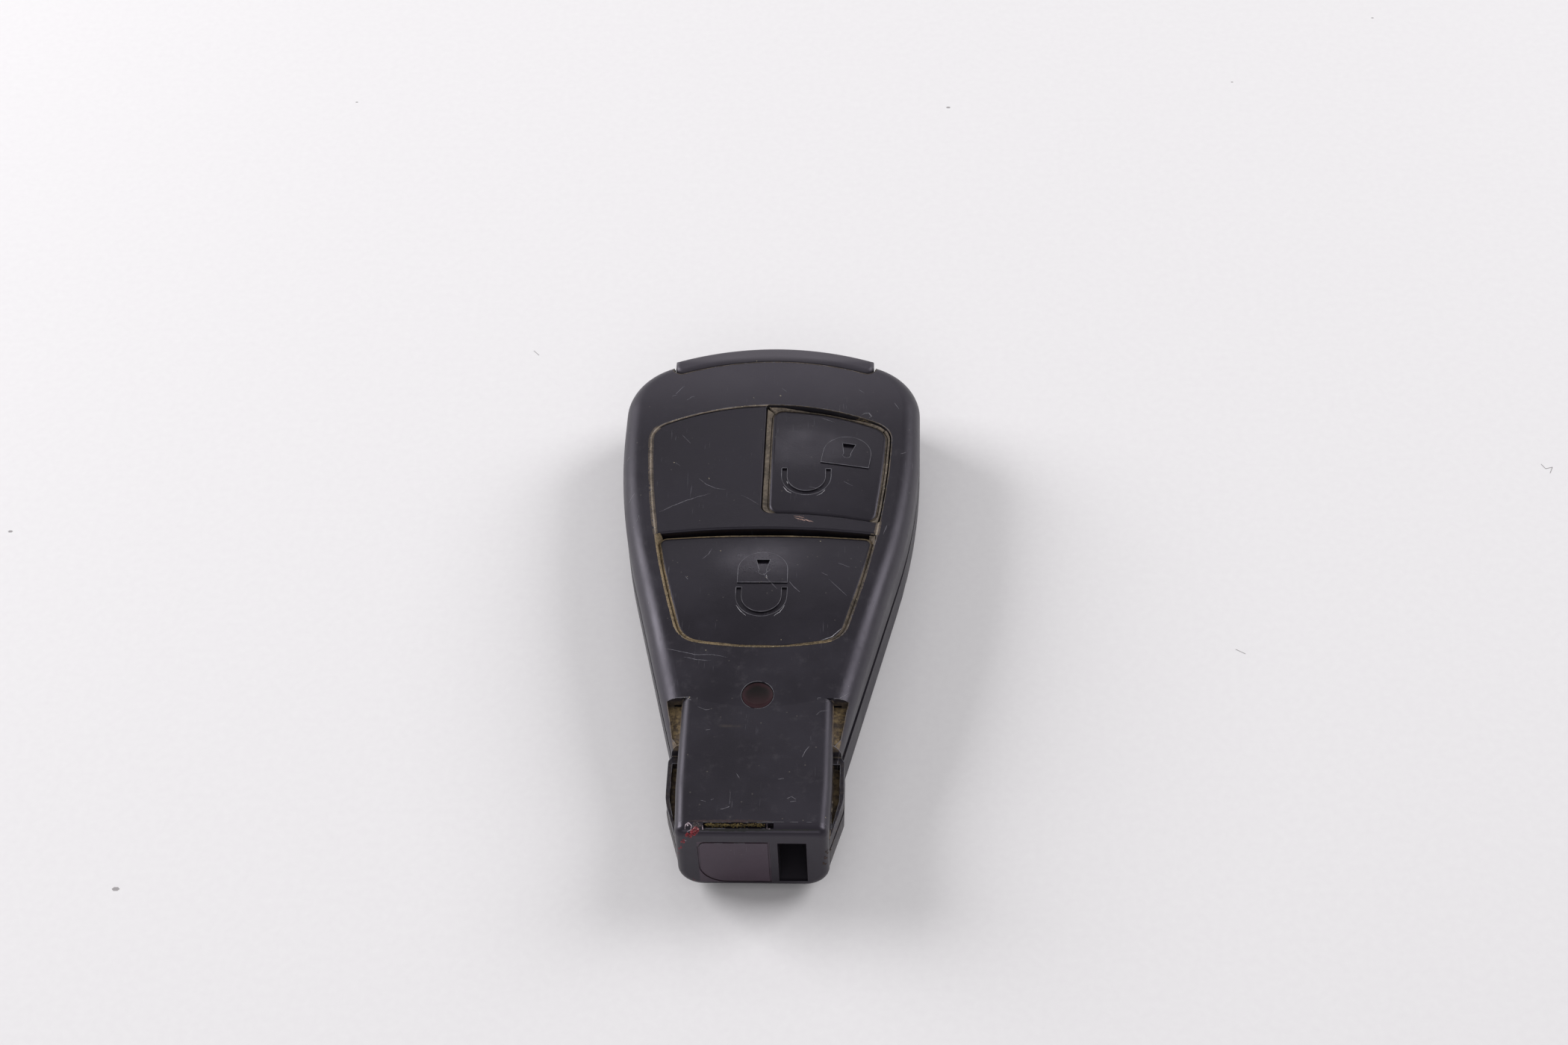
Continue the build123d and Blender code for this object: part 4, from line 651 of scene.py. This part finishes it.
def outline_at(name, height):
    """The longest loop of a level cut, as plan points a step apart, anticlockwise."""
    form = welded(name)
    parts = form.verts[:] + form.edges[:] + form.faces[:]
    cut = bmesh.ops.bisect_plane(form, geom=parts, plane_co=(0, 0, height), plane_no=(0, 0, 1))
    links = {}
    for item in cut["geom_cut"]:
        if isinstance(item, bmesh.types.BMEdge):
            a, b = item.verts
            links.setdefault(a, []).append(b)
            links.setdefault(b, []).append(a)
    loops = []
    while links:
        here = next(iter(links))
        loop, came = [here], None
        while True:
            onward = [v for v in links[here] if v is not came and (v not in loop[1:])]
            if not onward or onward[0] is loop[0]:
                break
            came, here = here, onward[0]
            loop.append(here)
        loops.append([Vector((v.co.x, v.co.y)) for v in loop])
        for vertex in loop:
            links.pop(vertex, None)
    form.free()

    def girth(points):
        return sum((points[i] - points[i - 1]).length for i in range(len(points)))

    loop = max(loops, key=girth)
    if sum(loop[i - 1].cross(loop[i]) for i in range(len(loop))) < 0:
        loop.reverse()
    walked, total = [], girth(loop)
    count = int(total / WALK_STEP)
    target, gone = 0.0, 0.0
    for i in range(len(loop)):
        start, end = loop[i], loop[(i + 1) % len(loop)]
        length = (end - start).length
        while target <= gone + length and len(walked) < count:
            share = (target - gone) / length if length else 0.0
            walked.append(start.lerp(end, share))
            target += total / count
        gone += length
    return walked


def seam_of(name, cut, widest, walls):
    """A seam: its outline at the height of a cut, that height, the widest gap in it, and its walls."""
    return outline_at(name, cut * MM), cut * MM, widest * MM, walls


shell_tree = tree_of("front_shell")
LOCK_SEAM = seam_of("lock_button", 12.3, 1.5, fixed_tree)
UNLOCK_SEAM = seam_of("unlock_button", 12.3, 2.6, fixed_tree)
PANEL_SEAM = seam_of("blank_panel", 12.6, 0.45, shell_tree)
BAR_SEAM = seam_of("key_head", 12.0, 0.8, shell_tree)
print("points:", *(len(seam[0]) for seam in (LOCK_SEAM, UNLOCK_SEAM, PANEL_SEAM, BAR_SEAM)))


# %% Fill a gap with dust
OUTLINE_SPREAD, FEWEST_ROWS = 3, 4
# A ray starts a little off the button. The tops are read on the button and past the gap, in mm.
OFF_BUTTON, ON_BUTTON, PAST_GAP = 0.02, 0.75, 0.12


def rough_height(place, scale, seed):
    """Lumps between minus one and one."""
    spot = Vector((place.x * scale, place.y * scale, seed))
    return noise.noise(spot) * 0.65 + noise.noise(spot * 2.7) * 0.35


def gap_at(i, points, cut_height, widest, walls):
    """The gap outside a point: start, level direction, width and the two tops, or None."""
    along = points[(i + OUTLINE_SPREAD) % len(points)] - points[i - OUTLINE_SPREAD]
    outward = Vector((along.y, -along.x)).normalized()
    flat = Vector((outward.x, outward.y, 0))
    start = Vector((points[i].x, points[i].y, cut_height))
    hit, _, _, width = walls.ray_cast(start + flat * OFF_BUTTON * MM, flat, widest)
    if hit is None:
        return None
    width += OFF_BUTTON * MM
    inner = start - flat * ON_BUTTON * MM
    outer = start + flat * (width + PAST_GAP * MM)
    inner_top, outer_top = under(inner.x, inner.y), under(outer.x, outer.y)
    if inner_top is None or outer_top is None:
        return None
    return start, flat, width, inner_top.z, outer_top.z


def patchy(point, seed):
    """A slow change between nought and one along a seam."""
    return 0.5 + 0.5 * noise.noise(Vector((point.x * 300, point.y * 300, seed)))


def seam_strip(pile, seam, profile, where, share_of_grains=0.0):
    """A strip along a seam. The profile gives pairs of reach and depth, in millimetres."""
    run = []
    for i in (*range(len(seam[0])), 0):
        found = gap_at(i, *seam)
        if found is None or not where(found[1]):
            pile.grid(run, FEWEST_ROWS)
            run = []
            continue
        start, flat, width, inner_z, outer_z = found
        row = []
        for reach, depth in profile(start, flat, width / MM):
            share = min(1.0, max(0.0, reach * MM / width))
            spot = start + flat * reach * MM
            lump = 0.05 * MM * rough_height(spot, 2600.0, reach)
            spot.z = inner_z * (1 - share) + outer_z * share - depth * MM + lump
            row.append(spot)
        run.append(row)
        if share_of_grains and random.random() < share_of_grains:
            spot = random.choice(row[1:-1])
            grains.blob(spot, UPWARD, random.uniform(0.03, 0.09) * MM)
    pile.grid(run, FEWEST_ROWS)


def seam_piece(name, material, body, seam, *strips):
    """One piece of strips along a seam: a profile, where it lies, and its share of grains."""
    pile = Pile(name, material, body)
    for strip in strips:
        seam_strip(pile, seam, *strip)
    pile.finish()


def everywhere(flat):
    return True


def upper_side(flat):
    return flat.y > 0.75 and abs(flat.x) < 0.5


# %% [markdown]
# ## One profile for each seam
#
# No two seams of the real key are alike. Between the panel and the lock button the gap is open and
# black, with one thin gold line on the button's own edge. Down the button's left and lower side the
# dust is gold and lies high. At its right it is brown, and at the unlock button's left and right it
# is tan and level with the top. So each stretch has its own profile: a few pairs of distance from
# the button and depth under the top.


# %% Profiles of dust
def filled(depth_near, depth_far, lower=0.6, extent=1.0, clear=0.12):
    """Fills a share of a gap, clear of the button and its bead, from one depth to another."""

    def profile(start, flat, width):
        patch = 0.12 * patchy(start, 3.1) - 0.05
        share_here = extent(start) if callable(extent) else extent
        into_wall, past, fall = (0.08, 0.06, 0.1) if share_here == 1.0 else (0.0, 0.05, 0.9)
        near, far = clear, max(clear + 0.08, width * share_here) + into_wall
        pairs = [(near, depth_near + lower)]
        for share in (0.0, 0.25, 0.5, 0.75, 1.0):
            hump = 0.06 * math.sin(math.pi * share)
            depth = depth_near + (depth_far - depth_near) * share - hump + patch
            pairs.append((near + (far - near) * share, depth))
        pairs.append((far + past, depth_far + fall))
        return pairs

    return profile


def rim_line(reach, lift=0.015):
    """A thin line of dust on the casing's edge across the gap."""

    def profile(start, flat, width):
        patch = 0.5 + patchy(start, 5.2)
        foot = [(width - 0.02, 0.14), (width - 0.02, -lift)]
        top = [(width + reach * 0.5 * patch, -lift * 1.4), (width + reach * patch, -lift * 0.5)]
        return foot + top

    return profile


def edge_bead(inside, outside, swell=0.05):
    """A profile that hugs the rounded edge of a button."""

    def profile(start, flat, width):
        patch = 0.7 + 0.6 * patchy(start, 9.4)
        out = min(outside * patch, width - 0.05)
        inner = inside * patch
        rounding = 0.55

        def drop(reach):
            depth_in = min(rounding, max(0.0, rounding + reach))
            return rounding - math.sqrt(max(0.0, rounding**2 - depth_in**2))

        top = [(-inner, drop(-inner) - 0.01), (-inner * 0.5, drop(-inner * 0.5) - swell)]
        return top + [(0.0, 0.34 - swell), (out, 0.46), (out, 0.8)]

    return profile


# Dust on the floor of a gap lies deeper than a pressed button reaches.
floor_dust = filled(1.7, 1.4, 0.3, 1.0, 0.03)
print("profiles:", filled.__name__, rim_line.__name__, edge_bead.__name__)


# %% Dust round the lock button
random.seed(11)
grains = Pile("grains_in_seams", "pale_grain")


def lock_left_or_low(flat):
    return not upper_side(flat) and flat.x < 0.45


def lock_right(flat):
    return not upper_side(flat) and flat.x >= 0.4


def near_upper_side(flat):
    return flat.y > 0.3


seam_piece(
    "gold_dust_round_lock_button", "gold_dust", "casing", LOCK_SEAM,
    (filled(0.08, -0.06), lock_left_or_low, 0.12),
)
seam_piece(
    "brown_dust_right_of_lock_button", "packed_dust", "casing", LOCK_SEAM,
    (filled(0.2, 0.04, 0.6, 0.72), lock_right, 0.05),
    (floor_dust, lock_right),
    (floor_dust, upper_side),
    (rim_line(0.1), lock_right),
)
seam_piece(
    "gold_bead_on_lock_button", "gold_dust", "lock_button", LOCK_SEAM,
    (edge_bead(0.17, 0.14, 0.03), near_upper_side),
    (edge_bead(0.3, 0.06, 0.02), lock_left_or_low),
)
seam_piece(
    "brown_bead_on_lock_button", "packed_dust", "lock_button", LOCK_SEAM,
    (edge_bead(0.34, 0.06, 0.02), lock_right),
)


# %% Dust round the unlock button
def unlock_top(flat):
    return flat.y > 0.6


def unlock_left(flat):
    return flat.x < -0.3 and flat.y <= 0.6


def unlock_right(flat):
    return flat.x > 0.3 and flat.y <= 0.6


def unlock_low(flat):
    return flat.y < -0.6


def tapered(start):
    """The filled share of the gap above the unlock button: wide at both corners, thin between."""
    x = start.x / MM
    if x < 8.0:
        return 0.95 - 0.83 * min(1.0, max(0.0, (x + 0.5) / 6.5)) ** 0.8
    return 0.12 + 0.48 * min(1.0, max(0.0, (x - 11.0) / 3.5))


seam_piece(
    "tan_dust_round_unlock_button", "packed_dust", "casing", UNLOCK_SEAM,
    (filled(0.26, 0.18, 0.6, 0.86, 0.16), unlock_left, 0.04),
    (filled(0.2, 0.1, 0.6, 0.64, 0.16), unlock_right, 0.06),
    (filled(0.24, 0.2, 0.6, tapered, 0.04), unlock_top, 0.03),
    (floor_dust, everywhere),
    (rim_line(0.1), unlock_right),
    (rim_line(0.06), unlock_top),
)
seam_piece(
    "tan_bead_on_unlock_button", "packed_dust", "unlock_button", UNLOCK_SEAM,
    (edge_bead(0.12, 0.1, 0.02), unlock_left),
    (edge_bead(0.16, 0.1, 0.02), unlock_right),
)
# Worn plastic and a painted highlight along the unlock button's lower edge.
seam_piece(
    "worn_line_and_highlight_under_unlock_button", "worn_plastic_and_painted_highlight", "unlock_button", UNLOCK_SEAM,
    (edge_bead(0.07, 0.05, 0.02), unlock_low),
)


# %% Dust over the tight seam of the blank panel, and behind the bar
def over_seam(half, lift):
    """A low bead laid over a tight seam, wider at the sides than at the top."""

    def profile(start, flat, width):
        spread = half * (1.0 if abs(flat.x) > 0.7 else 0.42) * (0.75 + 0.5 * patchy(start, 6.6))
        middle, half_way = width / 2, spread * 0.5
        left = [(middle - spread, 0.0), (middle - half_way, -lift), (middle, -lift * 1.3)]
        return left + [(middle + half_way, -lift), (middle + spread, 0.0)]

    return profile


seam_piece(
    "brown_dust_over_panel_seam", "brown_dust", "casing", PANEL_SEAM,
    (over_seam(0.38, 0.012), everywhere),
)
seam_piece(
    "bright_dust_over_panel_seam", "bright_dust", "casing", PANEL_SEAM,
    (over_seam(0.15, 0.035), everywhere, 0.08),
)
seam_piece(
    "dust_behind_bar", "brown_dust", "casing", BAR_SEAM,
    (filled(0.9, 0.45, 0.6, 0.7), everywhere),
    (rim_line(0.1), everywhere),
)
grains.finish()

# %% [markdown]
# ## Worn edges with painted highlights, and dusty corners
#
# Handling rubs a hard edge pale, and a sharp inner corner fills with dust. Both kinds of edge can be
# found by their angle in the solid's own mesh. A convex edge gets a thin pale ribbon that comes and
# goes with noise: worn plastic, and a painted highlight where the edge would catch the light. An
# inner corner gets a small fillet of dust, and the window's inner corners get a dark line. This draws
# the padlocks, the rim of the recess and the window's line without a single point set by hand.


# %% Strips along the sharp edges of a solid
SHARP_ANGLE = 0.6
SHORTEST_EDGE, RIBBON_STEP = 0.01 * MM, 0.35 * MM


def along_edges(pile, name, convex, reach, lift, keep, gaps, seed):
    """Ribbons over convex edges, or fillets in inner corners, where keep says so."""
    reach, lift = reach * MM, lift * MM
    form = welded(name)
    for edge in form.edges:
        if len(edge.link_faces) != 2 or edge.calc_length() < SHORTEST_EDGE:
            continue
        first, second = edge.link_faces
        if first.normal.angle(second.normal, 0.0) < SHARP_ANGLE or edge.is_convex != convex:
            continue
        a, b = edge.verts[0].co, edge.verts[1].co
        facing = (first.normal + second.normal).normalized()
        if not keep((a + b) / 2, facing):
            continue
        along = (b - a).normalized()
        sides = []
        for face in (first, second):
            inward = face.normal.cross(along).normalized()
            if inward.dot(face.calc_center_median() - a) < 0:
                inward.negate()
            sides.append((inward, face.normal))
        count = max(1, int((b - a).length / RIBBON_STEP))
        rows = []
        for k in range(count + 1):
            spot = a.lerp(b, k / count)
            swell = noise.noise(Vector((spot.x * 900, spot.y * 900, spot.z * 900 + seed)))
            wide = reach * (0.75 + 0.6 * swell)
            if gaps and swell < gaps - 0.5:
                pile.grid(rows)
                rows = []
                continue
            ends = [spot + inward * wide + normal * lift for inward, normal in sides]
            if convex:
                middle = spot + facing * lift * 1.2
            else:
                middle = (ends[0] + ends[1]) / 2 - facing * wide * 0.12
            rows.append([ends[0], middle, ends[1]])
        pile.grid(rows)
    form.free()


def edge_piece(name, material, body, *ribbons):
    """One piece of ribbons along edges of solids."""
    pile = Pile(name, material, body)
    for ribbon in ribbons:
        along_edges(pile, *ribbon)
    pile.finish()


def upward_edges(least_up, low, high=99.0, from_y=-99.0):
    """Keeps edges that face up by a least share, in a range of heights and beyond a y, in millimetres."""

    def keep(middle, facing):
        in_range = low * MM < middle.z < high * MM and middle.y > from_y * MM
        return facing.z > least_up and in_range

    return keep


def on_face(middle, facing):
    return facing.y < -0.3 and middle.y < -43.4 * MM


near_top = upward_edges(0.25, 12.6)
anywhere_up = upward_edges(0.2, 7.5)
worn_and_highlit_rim_place = upward_edges(0.2, 7.5, from_y=-42.0)
low_corner = upward_edges(0.2, 7.5, 12.6)
notch_rim = upward_edges(0.2, 10.0, from_y=37.5)
# Each ribbon has a solid, whether its edges are convex, its half width and lift in millimetres,
# where it is kept, how much of it is missing, and a shift of its noise.
# The pale ribbons on convex edges are worn plastic and painted highlight in one.
edge_piece(
    "worn_rims_and_highlights_of_casing", "worn_plastic_and_painted_highlight", "casing",
    ("front_shell", True, 0.055, 0.012, worn_and_highlit_rim_place, 0.28, 2.0),
    ("blank_panel", True, 0.07, 0.012, near_top, 0.15, 4.0),
    ("nose_window", True, 0.045, 0.010, anywhere_up, 0.4, 6.0),
)
bodies = {"lock_button": "lock_button", "unlock_button": "unlock_button", "key_head": "emergency_key"}
for name, body in bodies.items():
    rim = (name, True, 0.07, 0.012, near_top, 0.0, 8.0)
    edge_piece("worn_rims_and_highlights_of_" + name, "worn_plastic_and_painted_highlight", body, rim)
edge_piece(
    "dust_in_casing_corners", "packed_dust", "casing",
    ("front_shell", False, 0.16, 0.005, low_corner, 0.3, 1.0),
    ("front_shell", True, 0.13, 0.006, notch_rim, 0.2, 1.0),
)
# A dark line in the inner corners of the window's face.
edge_piece(
    "dark_line_in_window_corners", "dark_red", "casing",
    ("nose_window", False, 0.05, 0.004, on_face, 0.35, 3.0),
)

# %% [markdown]
# ## Scratches and stones
#
# A scratch is a shallow furrow whose torn edges catch the light, so from a step away it is a thin
# pale line that fades at both ends. Each one here was read off the photograph as two to five pixels.
# A ray from the camera puts every point of it onto the solid, and a tapered ribbon is laid 0.012 mm
# over the surface. Small stones are thrown onto the solids in the same way.


# %% Lay lines and stones over the solids
LINE_LIFT, LINE_CROWN_MM, WIDEST_JUMP = 0.012 * MM, 0.004, 1.5 * MM


def laid_line(pile, pixels, width, step_pixels=2.0, wander=0.5, lift=LINE_LIFT):
    """A tapered ribbon over the solids through pixels of the photograph."""
    spots = []
    for (u0, v0), (u1, v1) in zip(pixels, pixels[1:]):
        count = max(2, int(math.dist((u0, v0), (u1, v1)) / step_pixels))
        for k in range(count):
            share = k / count
            spots.append((u0 + (u1 - u0) * share, v0 + (v1 - v0) * share))
    spots.append(pixels[-1])
    rows, last = [], len(spots) - 1
    for i, (u, v) in enumerate(spots):
        sway = wander * noise.noise(Vector((u * 0.3, v * 0.3, 0.5)))
        hit, facing = seen_at((u + sway, v + sway))
        ahead, _ = seen_at(spots[min(i + 1, last)])
        behind, _ = seen_at(spots[max(i - 1, 0)])
        if hit is None or ahead is None or behind is None or (ahead - behind).length < 1e-6:
            continue
        if rows and (hit - rows[-1][1]).length > WIDEST_JUMP:
            break
        across = facing.cross((ahead - behind).normalized()).normalized()
        taper = math.sin(math.pi * (i + 0.6) / (last + 1.2)) ** 0.6
        half = width * taper * (0.7 + 0.5 * noise.noise(Vector((u * 0.7, v * 0.7, 2.2)))) / 2
        middle = hit + facing * lift
        rows.append([middle - across * half, middle + facing * LINE_CROWN_MM * MM, middle + across * half])
    pile.grid(rows)


def pebbles(pile, pixel, spread, size, count, squash=0.6):
    """Small stones on the solids round a pixel of the photograph."""
    u, v = pixel
    for _ in range(count):
        angle, reach = random.uniform(0, 6.28), spread * math.sqrt(random.random())
        hit, facing = seen_at((u + reach * math.cos(angle), v + reach * math.sin(angle)))
        if hit is not None:
            pile.blob(hit, facing, size * random.uniform(0.6, 1.2) * MM, squash)


def marks(name, material, lines=(), stones=(), body="casing"):
    """One piece of laid lines and then stones. A line has its width in millimetres and its pixels."""
    pile = Pile(name, material, body)
    for width, pixels, *rest in lines:
        laid_line(pile, pixels, width * MM, *rest)
    for stone in stones:
        pebbles(pile, *stone)
    pile.finish()


# %% Scratches and glints: a width in millimetres and pixels of the photograph
casing_scratches = (
    (0.13, ((883, 686), (900, 678), (921, 670), (951, 661))),
    (0.1, ((936, 641), (946, 649), (958, 654), (972, 656))),
    (0.07, ((992, 663), (1003, 668), (1016, 676))), (0.08, ((914, 583), (919, 588), (925, 594))),
    (0.08, ((905, 620), (911, 624))),
    (0.1, ((890, 869), (908, 872), (931, 877), (955, 877), (975, 881))),
    (0.09, ((915, 880), (935, 884), (952, 885))), (0.12, ((1138, 928), (1126, 935), (1106, 940))),
    (0.12, ((1093, 958), (1099, 953), (1108, 952))), (0.14, ((965, 1084), (971, 1083), (977, 1080))),
    (0.05, ((977, 1078), (978, 1068), (978, 1058))),
    (0.1, ((1054, 1070), (1060, 1067), (1066, 1071))), (0.1, ((1058, 1074), (1066, 1073))),
    (0.1, ((1042, 1044), (1050, 1043))), (0.09, ((1074, 1014), (1079, 1006), (1084, 1000))),
    (0.1, ((986, 1036), (990, 1042))), (0.08, ((938, 1072), (945, 1074))),
    (0.08, ((952, 1072), (956, 1070))), (0.14, ((906, 936), (916, 934), (926, 938))),
    (0.1, ((935, 947), (945, 951), (951, 950))), (0.1, ((945, 978), (951, 977))),
    (0.15, ((842, 674), (846, 667), (850, 661))), (0.12, ((840, 618), (844, 612))),
    (0.12, ((852, 700), (856, 690))), (0.12, ((868, 806), (872, 818))),
    (0.1, ((905, 528), (911, 522), (917, 517))), (0.1, ((920, 536), (926, 532), (930, 531))),
    (0.08, ((900, 531), (907, 529))), (0.08, ((1047, 520), (1054, 525))),
    (0.1, ((1150, 522), (1158, 527))), (0.1, ((1198, 540), (1204, 548))),
    (0.1, ((1206, 608), (1214, 606))), (0.1, ((1183, 716), (1188, 704))),
    (0.12, ((1166, 822), (1171, 806))), (0.1, ((1126, 1000), (1122, 1020), (1121, 1035))),
)
lock_scratches = (
    (0.12, ((1022, 768), (1030, 778), (1041, 789))), (0.11, ((1057, 779), (1063, 786), (1071, 793))),
    (0.09, ((1110, 776), (1121, 786), (1134, 798))), (0.08, ((1122, 754), (1138, 760))),
    (0.1, ((941, 749), (949, 742), (954, 735))), (0.07, ((893, 831), (925, 826), (961, 820))),
    (0.07, ((1100, 767), (1109, 771))), (0.1, ((918, 772), (921, 776))),
    (0.09, ((1032, 762), (1024, 770))),
)
lock_glints = (
    (0.09, ((986, 811), (991, 818), (999, 825))), (0.09, ((1036, 825), (1044, 820), (1051, 811))),
    (0.12, ((909, 844), (916, 851), (927, 857))), (0.12, ((1100, 858), (1114, 853), (1127, 842))),
    (0.09, ((1026, 768), (1027, 775))),
)
unlock_glints = (
    (0.1, ((1049, 652), (1054, 658), (1060, 661))), (0.08, ((1094, 664), (1100, 661), (1105, 656))),
    (0.14, ((1054, 645), (1055, 648))),
)
unlock_scratches = (
    (0.08, ((1083, 652), (1098, 655))), (0.08, ((1130, 645), (1142, 651))),
    (0.07, ((1100, 560), (1118, 566))),
)
marks("scratches_on_casing", "scuffed_plastic", casing_scratches)
marks("scratches_on_lock_button", "scuffed_plastic", lock_scratches, (), "lock_button")
marks("scratches_on_unlock_button", "scuffed_plastic", unlock_scratches, (), "unlock_button")
marks("glints_on_lock_button", "bright_edge", lock_glints, (), "lock_button")
marks("glints_on_unlock_button", "bright_edge", unlock_glints, (), "unlock_button")

# %% [markdown]
# ## Damage and dirt on the nose
#
# The nose has a red chip at its upper left corner, where the dark surface broke away from a red
# resin, and gold dirt on the far wall of the groove. Stones of jittered points, laid close together,
# look broken in a way that a smooth patch doesn't.


# %% The chip, the groove and the dirt beside the window
random.seed(23)
# Stones have a pixel, how far they spread in pixels, their size in millimetres and their count.
CHIP_STONES = (
    ((930, 1114), 5.0, 0.25, 34), ((922, 1120), 3.5, 0.2, 16), ((914, 1127), 3.0, 0.13, 12),
    ((911, 1136), 2.5, 0.1, 8), ((909, 1143), 2.0, 0.07, 5), ((929, 1178), 3.0, 0.06, 5),
    ((936, 1183), 3.0, 0.05, 4),
)
# The chip's pale edge, the pale stones and the pale ends of the groove are partly stress-whitened resin
# and partly painted glints.
CHIP_EDGE = ((917, 1111), (918, 1105), (922, 1102), (926, 1106), (925, 1111), (920, 1115))
GROOVE_END_LEFT = ((941, 1106), (941, 1112))
GROOVE_END_RIGHT = ((1027, 1103), (1027, 1110), (1032, 1111))
PALE_STONES = (((917, 1126), 1.5, 0.1, 3), ((921, 1104), 2.5, 0.09, 5))
RED_SKIN = ((922, 1100), (965, 1100), (1000, 1100), (1034, 1100))
RED_SKIN_STONES = (((933, 1106), 6.0, 0.16, 30, 0.3), ((1034, 1106), 2.0, 0.09, 6))
GROOVE_LEFT, GROOVE_RIGHT, GROOVE_STEP, GROOVE_V = 944, 1024, 2, 1105.5
# Painted shadow: a black line under the groove, along the top edge of the nose's face.
SHADOW_LINE_LEFT = ((934, 1112), (985, 1112), (1040, 1112))
SHADOW_LINE_RIGHT = ((1030, 1112), (1060, 1112), (1096, 1112))
BRIGHT_GRAINS_U = (950, 955, 958, 961, 966, 962, 975, 986, 990, 993, 996, 1001, 1006)
BRIGHT_GRAINS_V = 1106
WINDOW_DIRT = ((1107, 1142), (1106, 1149), (1105, 1156), (1110, 1138))

groove_pixels = [
    (u, GROOVE_V)
    for u in range(GROOVE_LEFT, GROOVE_RIGHT, GROOVE_STEP)
    if noise.noise(Vector((u * 0.06, 0.0, 4.0))) > -0.25
]
marks("red_chip", "red_resin", (), CHIP_STONES)
marks(
    "pale_edge_and_painted_glints_of_chip",
    "pale_resin_and_painted_glint",
    ((0.16, CHIP_EDGE, 1.0), (0.14, GROOVE_END_LEFT, 1.0), (0.14, GROOVE_END_RIGHT, 1.0)),
    PALE_STONES,
)
marks("red_skin_beside_groove", "dark_red", ((0.55, RED_SKIN, 3.0),), RED_SKIN_STONES)
marks("gold_dirt_in_groove", "groove_dirt", (), [(p, 2.4, 0.13, 6, 0.6) for p in groove_pixels])
# Painted shadow under the groove.
marks(
    "painted_shadow_under_groove",
    "painted_shadow_black",
    ((0.5, SHADOW_LINE_LEFT, 3.0, 0.3), (0.25, SHADOW_LINE_RIGHT, 3.0, 0.3)),
)
bright_stones = [((u, BRIGHT_GRAINS_V), 1.6, 0.09, 3) for u in BRIGHT_GRAINS_U]
marks("bright_grains_in_groove", "pale_grain", (), bright_stones)
marks("brown_dirt_beside_window", "dirt_brown", (), [(p, 2.2, 0.16, 8, 0.3) for p in WINDOW_DIRT])

# %% A burr and a scuff beside the unlock button, and loose grit
SCUFF = ((1064, 693), (1072, 696), (1080, 697), (1089, 699))
SCUFF_EDGE = ((1063, 691), (1070, 692), (1077, 694))
SCUFF_MIDDLE = (1074, 695)
BURR = ((1154, 557), (1158, 554), (1164, 554), (1167, 558), (1164, 561))
BURR_DUST = ((1146, 561), (1152, 565), (1158, 563), (1166, 567), (1175, 571))
BURR_FOOT = (1152, 563)
BURR_LIFT, BURR_DUST_LIFT = 0.05 * MM, 0.03 * MM
CASING_GRIT = (
    (1010, 533), (1045, 530), (1013, 484), (946, 871), (950, 641), (903, 620),
    (1106, 1095), (917, 934), (923, 935),
)
LOCK_GRIT = ((1099, 725), (965, 738), (920, 772), (1046, 857), (1026, 774), (1017, 780), (1020, 780))

marks(
    "pink_scuff_on_panel",
    "pink_scuff",
    ((0.3, SCUFF, 1.0, 1.0), (0.16, SCUFF_EDGE, 1.0)),
    ((SCUFF_MIDDLE, 6.0, 0.05, 14, 0.3),),
)
marks("burr_on_recess_rim", "worn_plastic_and_painted_highlight", ((0.2, BURR, 1.0, 1.0, BURR_LIFT),))
marks(
    "dust_under_burr",
    "gold_dust",
    ((0.35, BURR_DUST, 1.0, 1.5, BURR_DUST_LIFT),),
    ((BURR_FOOT, 3.0, 0.09, 10),),
)
marks("grit_on_casing", "pale_grain", (), [(p, 1.0, 0.07, 2) for p in CASING_GRIT])
marks("grit_on_lock_button", "pale_grain", (), [(p, 0.8, 0.06, 2) for p in LOCK_GRIT], "lock_button")

# %% [markdown]
# ## Specks on the table
#
# Real paper is never clean. Six dark specks and three short hairs on the table belong to the stage,
# not to the key.

# %% Specks and hairs on the table
# A speck has its pixel and its size in millimetres.
SPECKS = (
    (1270, 144, 0.3), (155, 1191, 0.42), (478, 137, 0.2),
    (14, 712, 0.3), (1650, 110, 0.18), (1838, 24, 0.2),
)
HAIRS = (
    ((2064, 622), (2070, 628), (2079, 626), (2076, 634)), ((1655, 870), (1668, 876)),
    ((715, 470), (722, 476)),
)
SPECK_CORNERS, SPECK_STEP, SPECK_LIFT = 6, 1.05, 0.02
HAIR_HALF_WIDTH = 0.05
mottled("speck_paint", "#8f8b8d", "#a8a4a6", 900.0, 0.9)


def table_at(u, v):
    """The place on the table that the photograph shows at a pixel."""
    ray = ray_through(u, v)
    return eye - ray * (eye.z / ray.z)


specks = bmesh.new()
for u, v, size in SPECKS:
    middle = table_at(u, v)
    angles = [k * SPECK_STEP for k in range(SPECK_CORNERS)]
    ring = [Vector((math.cos(a) * 1.3, math.sin(a) * 0.8, SPECK_LIFT)) for a in angles]
    specks.faces.new([specks.verts.new(middle + corner * size * MM) for corner in ring])
for hair in HAIRS:
    for start, end in zip(hair, hair[1:]):
        a, b = table_at(*start), table_at(*end)
        side = (b - a).cross(UPWARD).normalized() * HAIR_HALF_WIDTH * MM
        lift = Vector((0, 0, SPECK_LIFT * MM))
        specks.faces.new([specks.verts.new(p + lift) for p in (a - side, b - side, b + side, a + side)])
stage_piece("table_specks", specks, "speck_paint")
print("specks and hairs on the table:", len(SPECKS) + len(HAIRS))
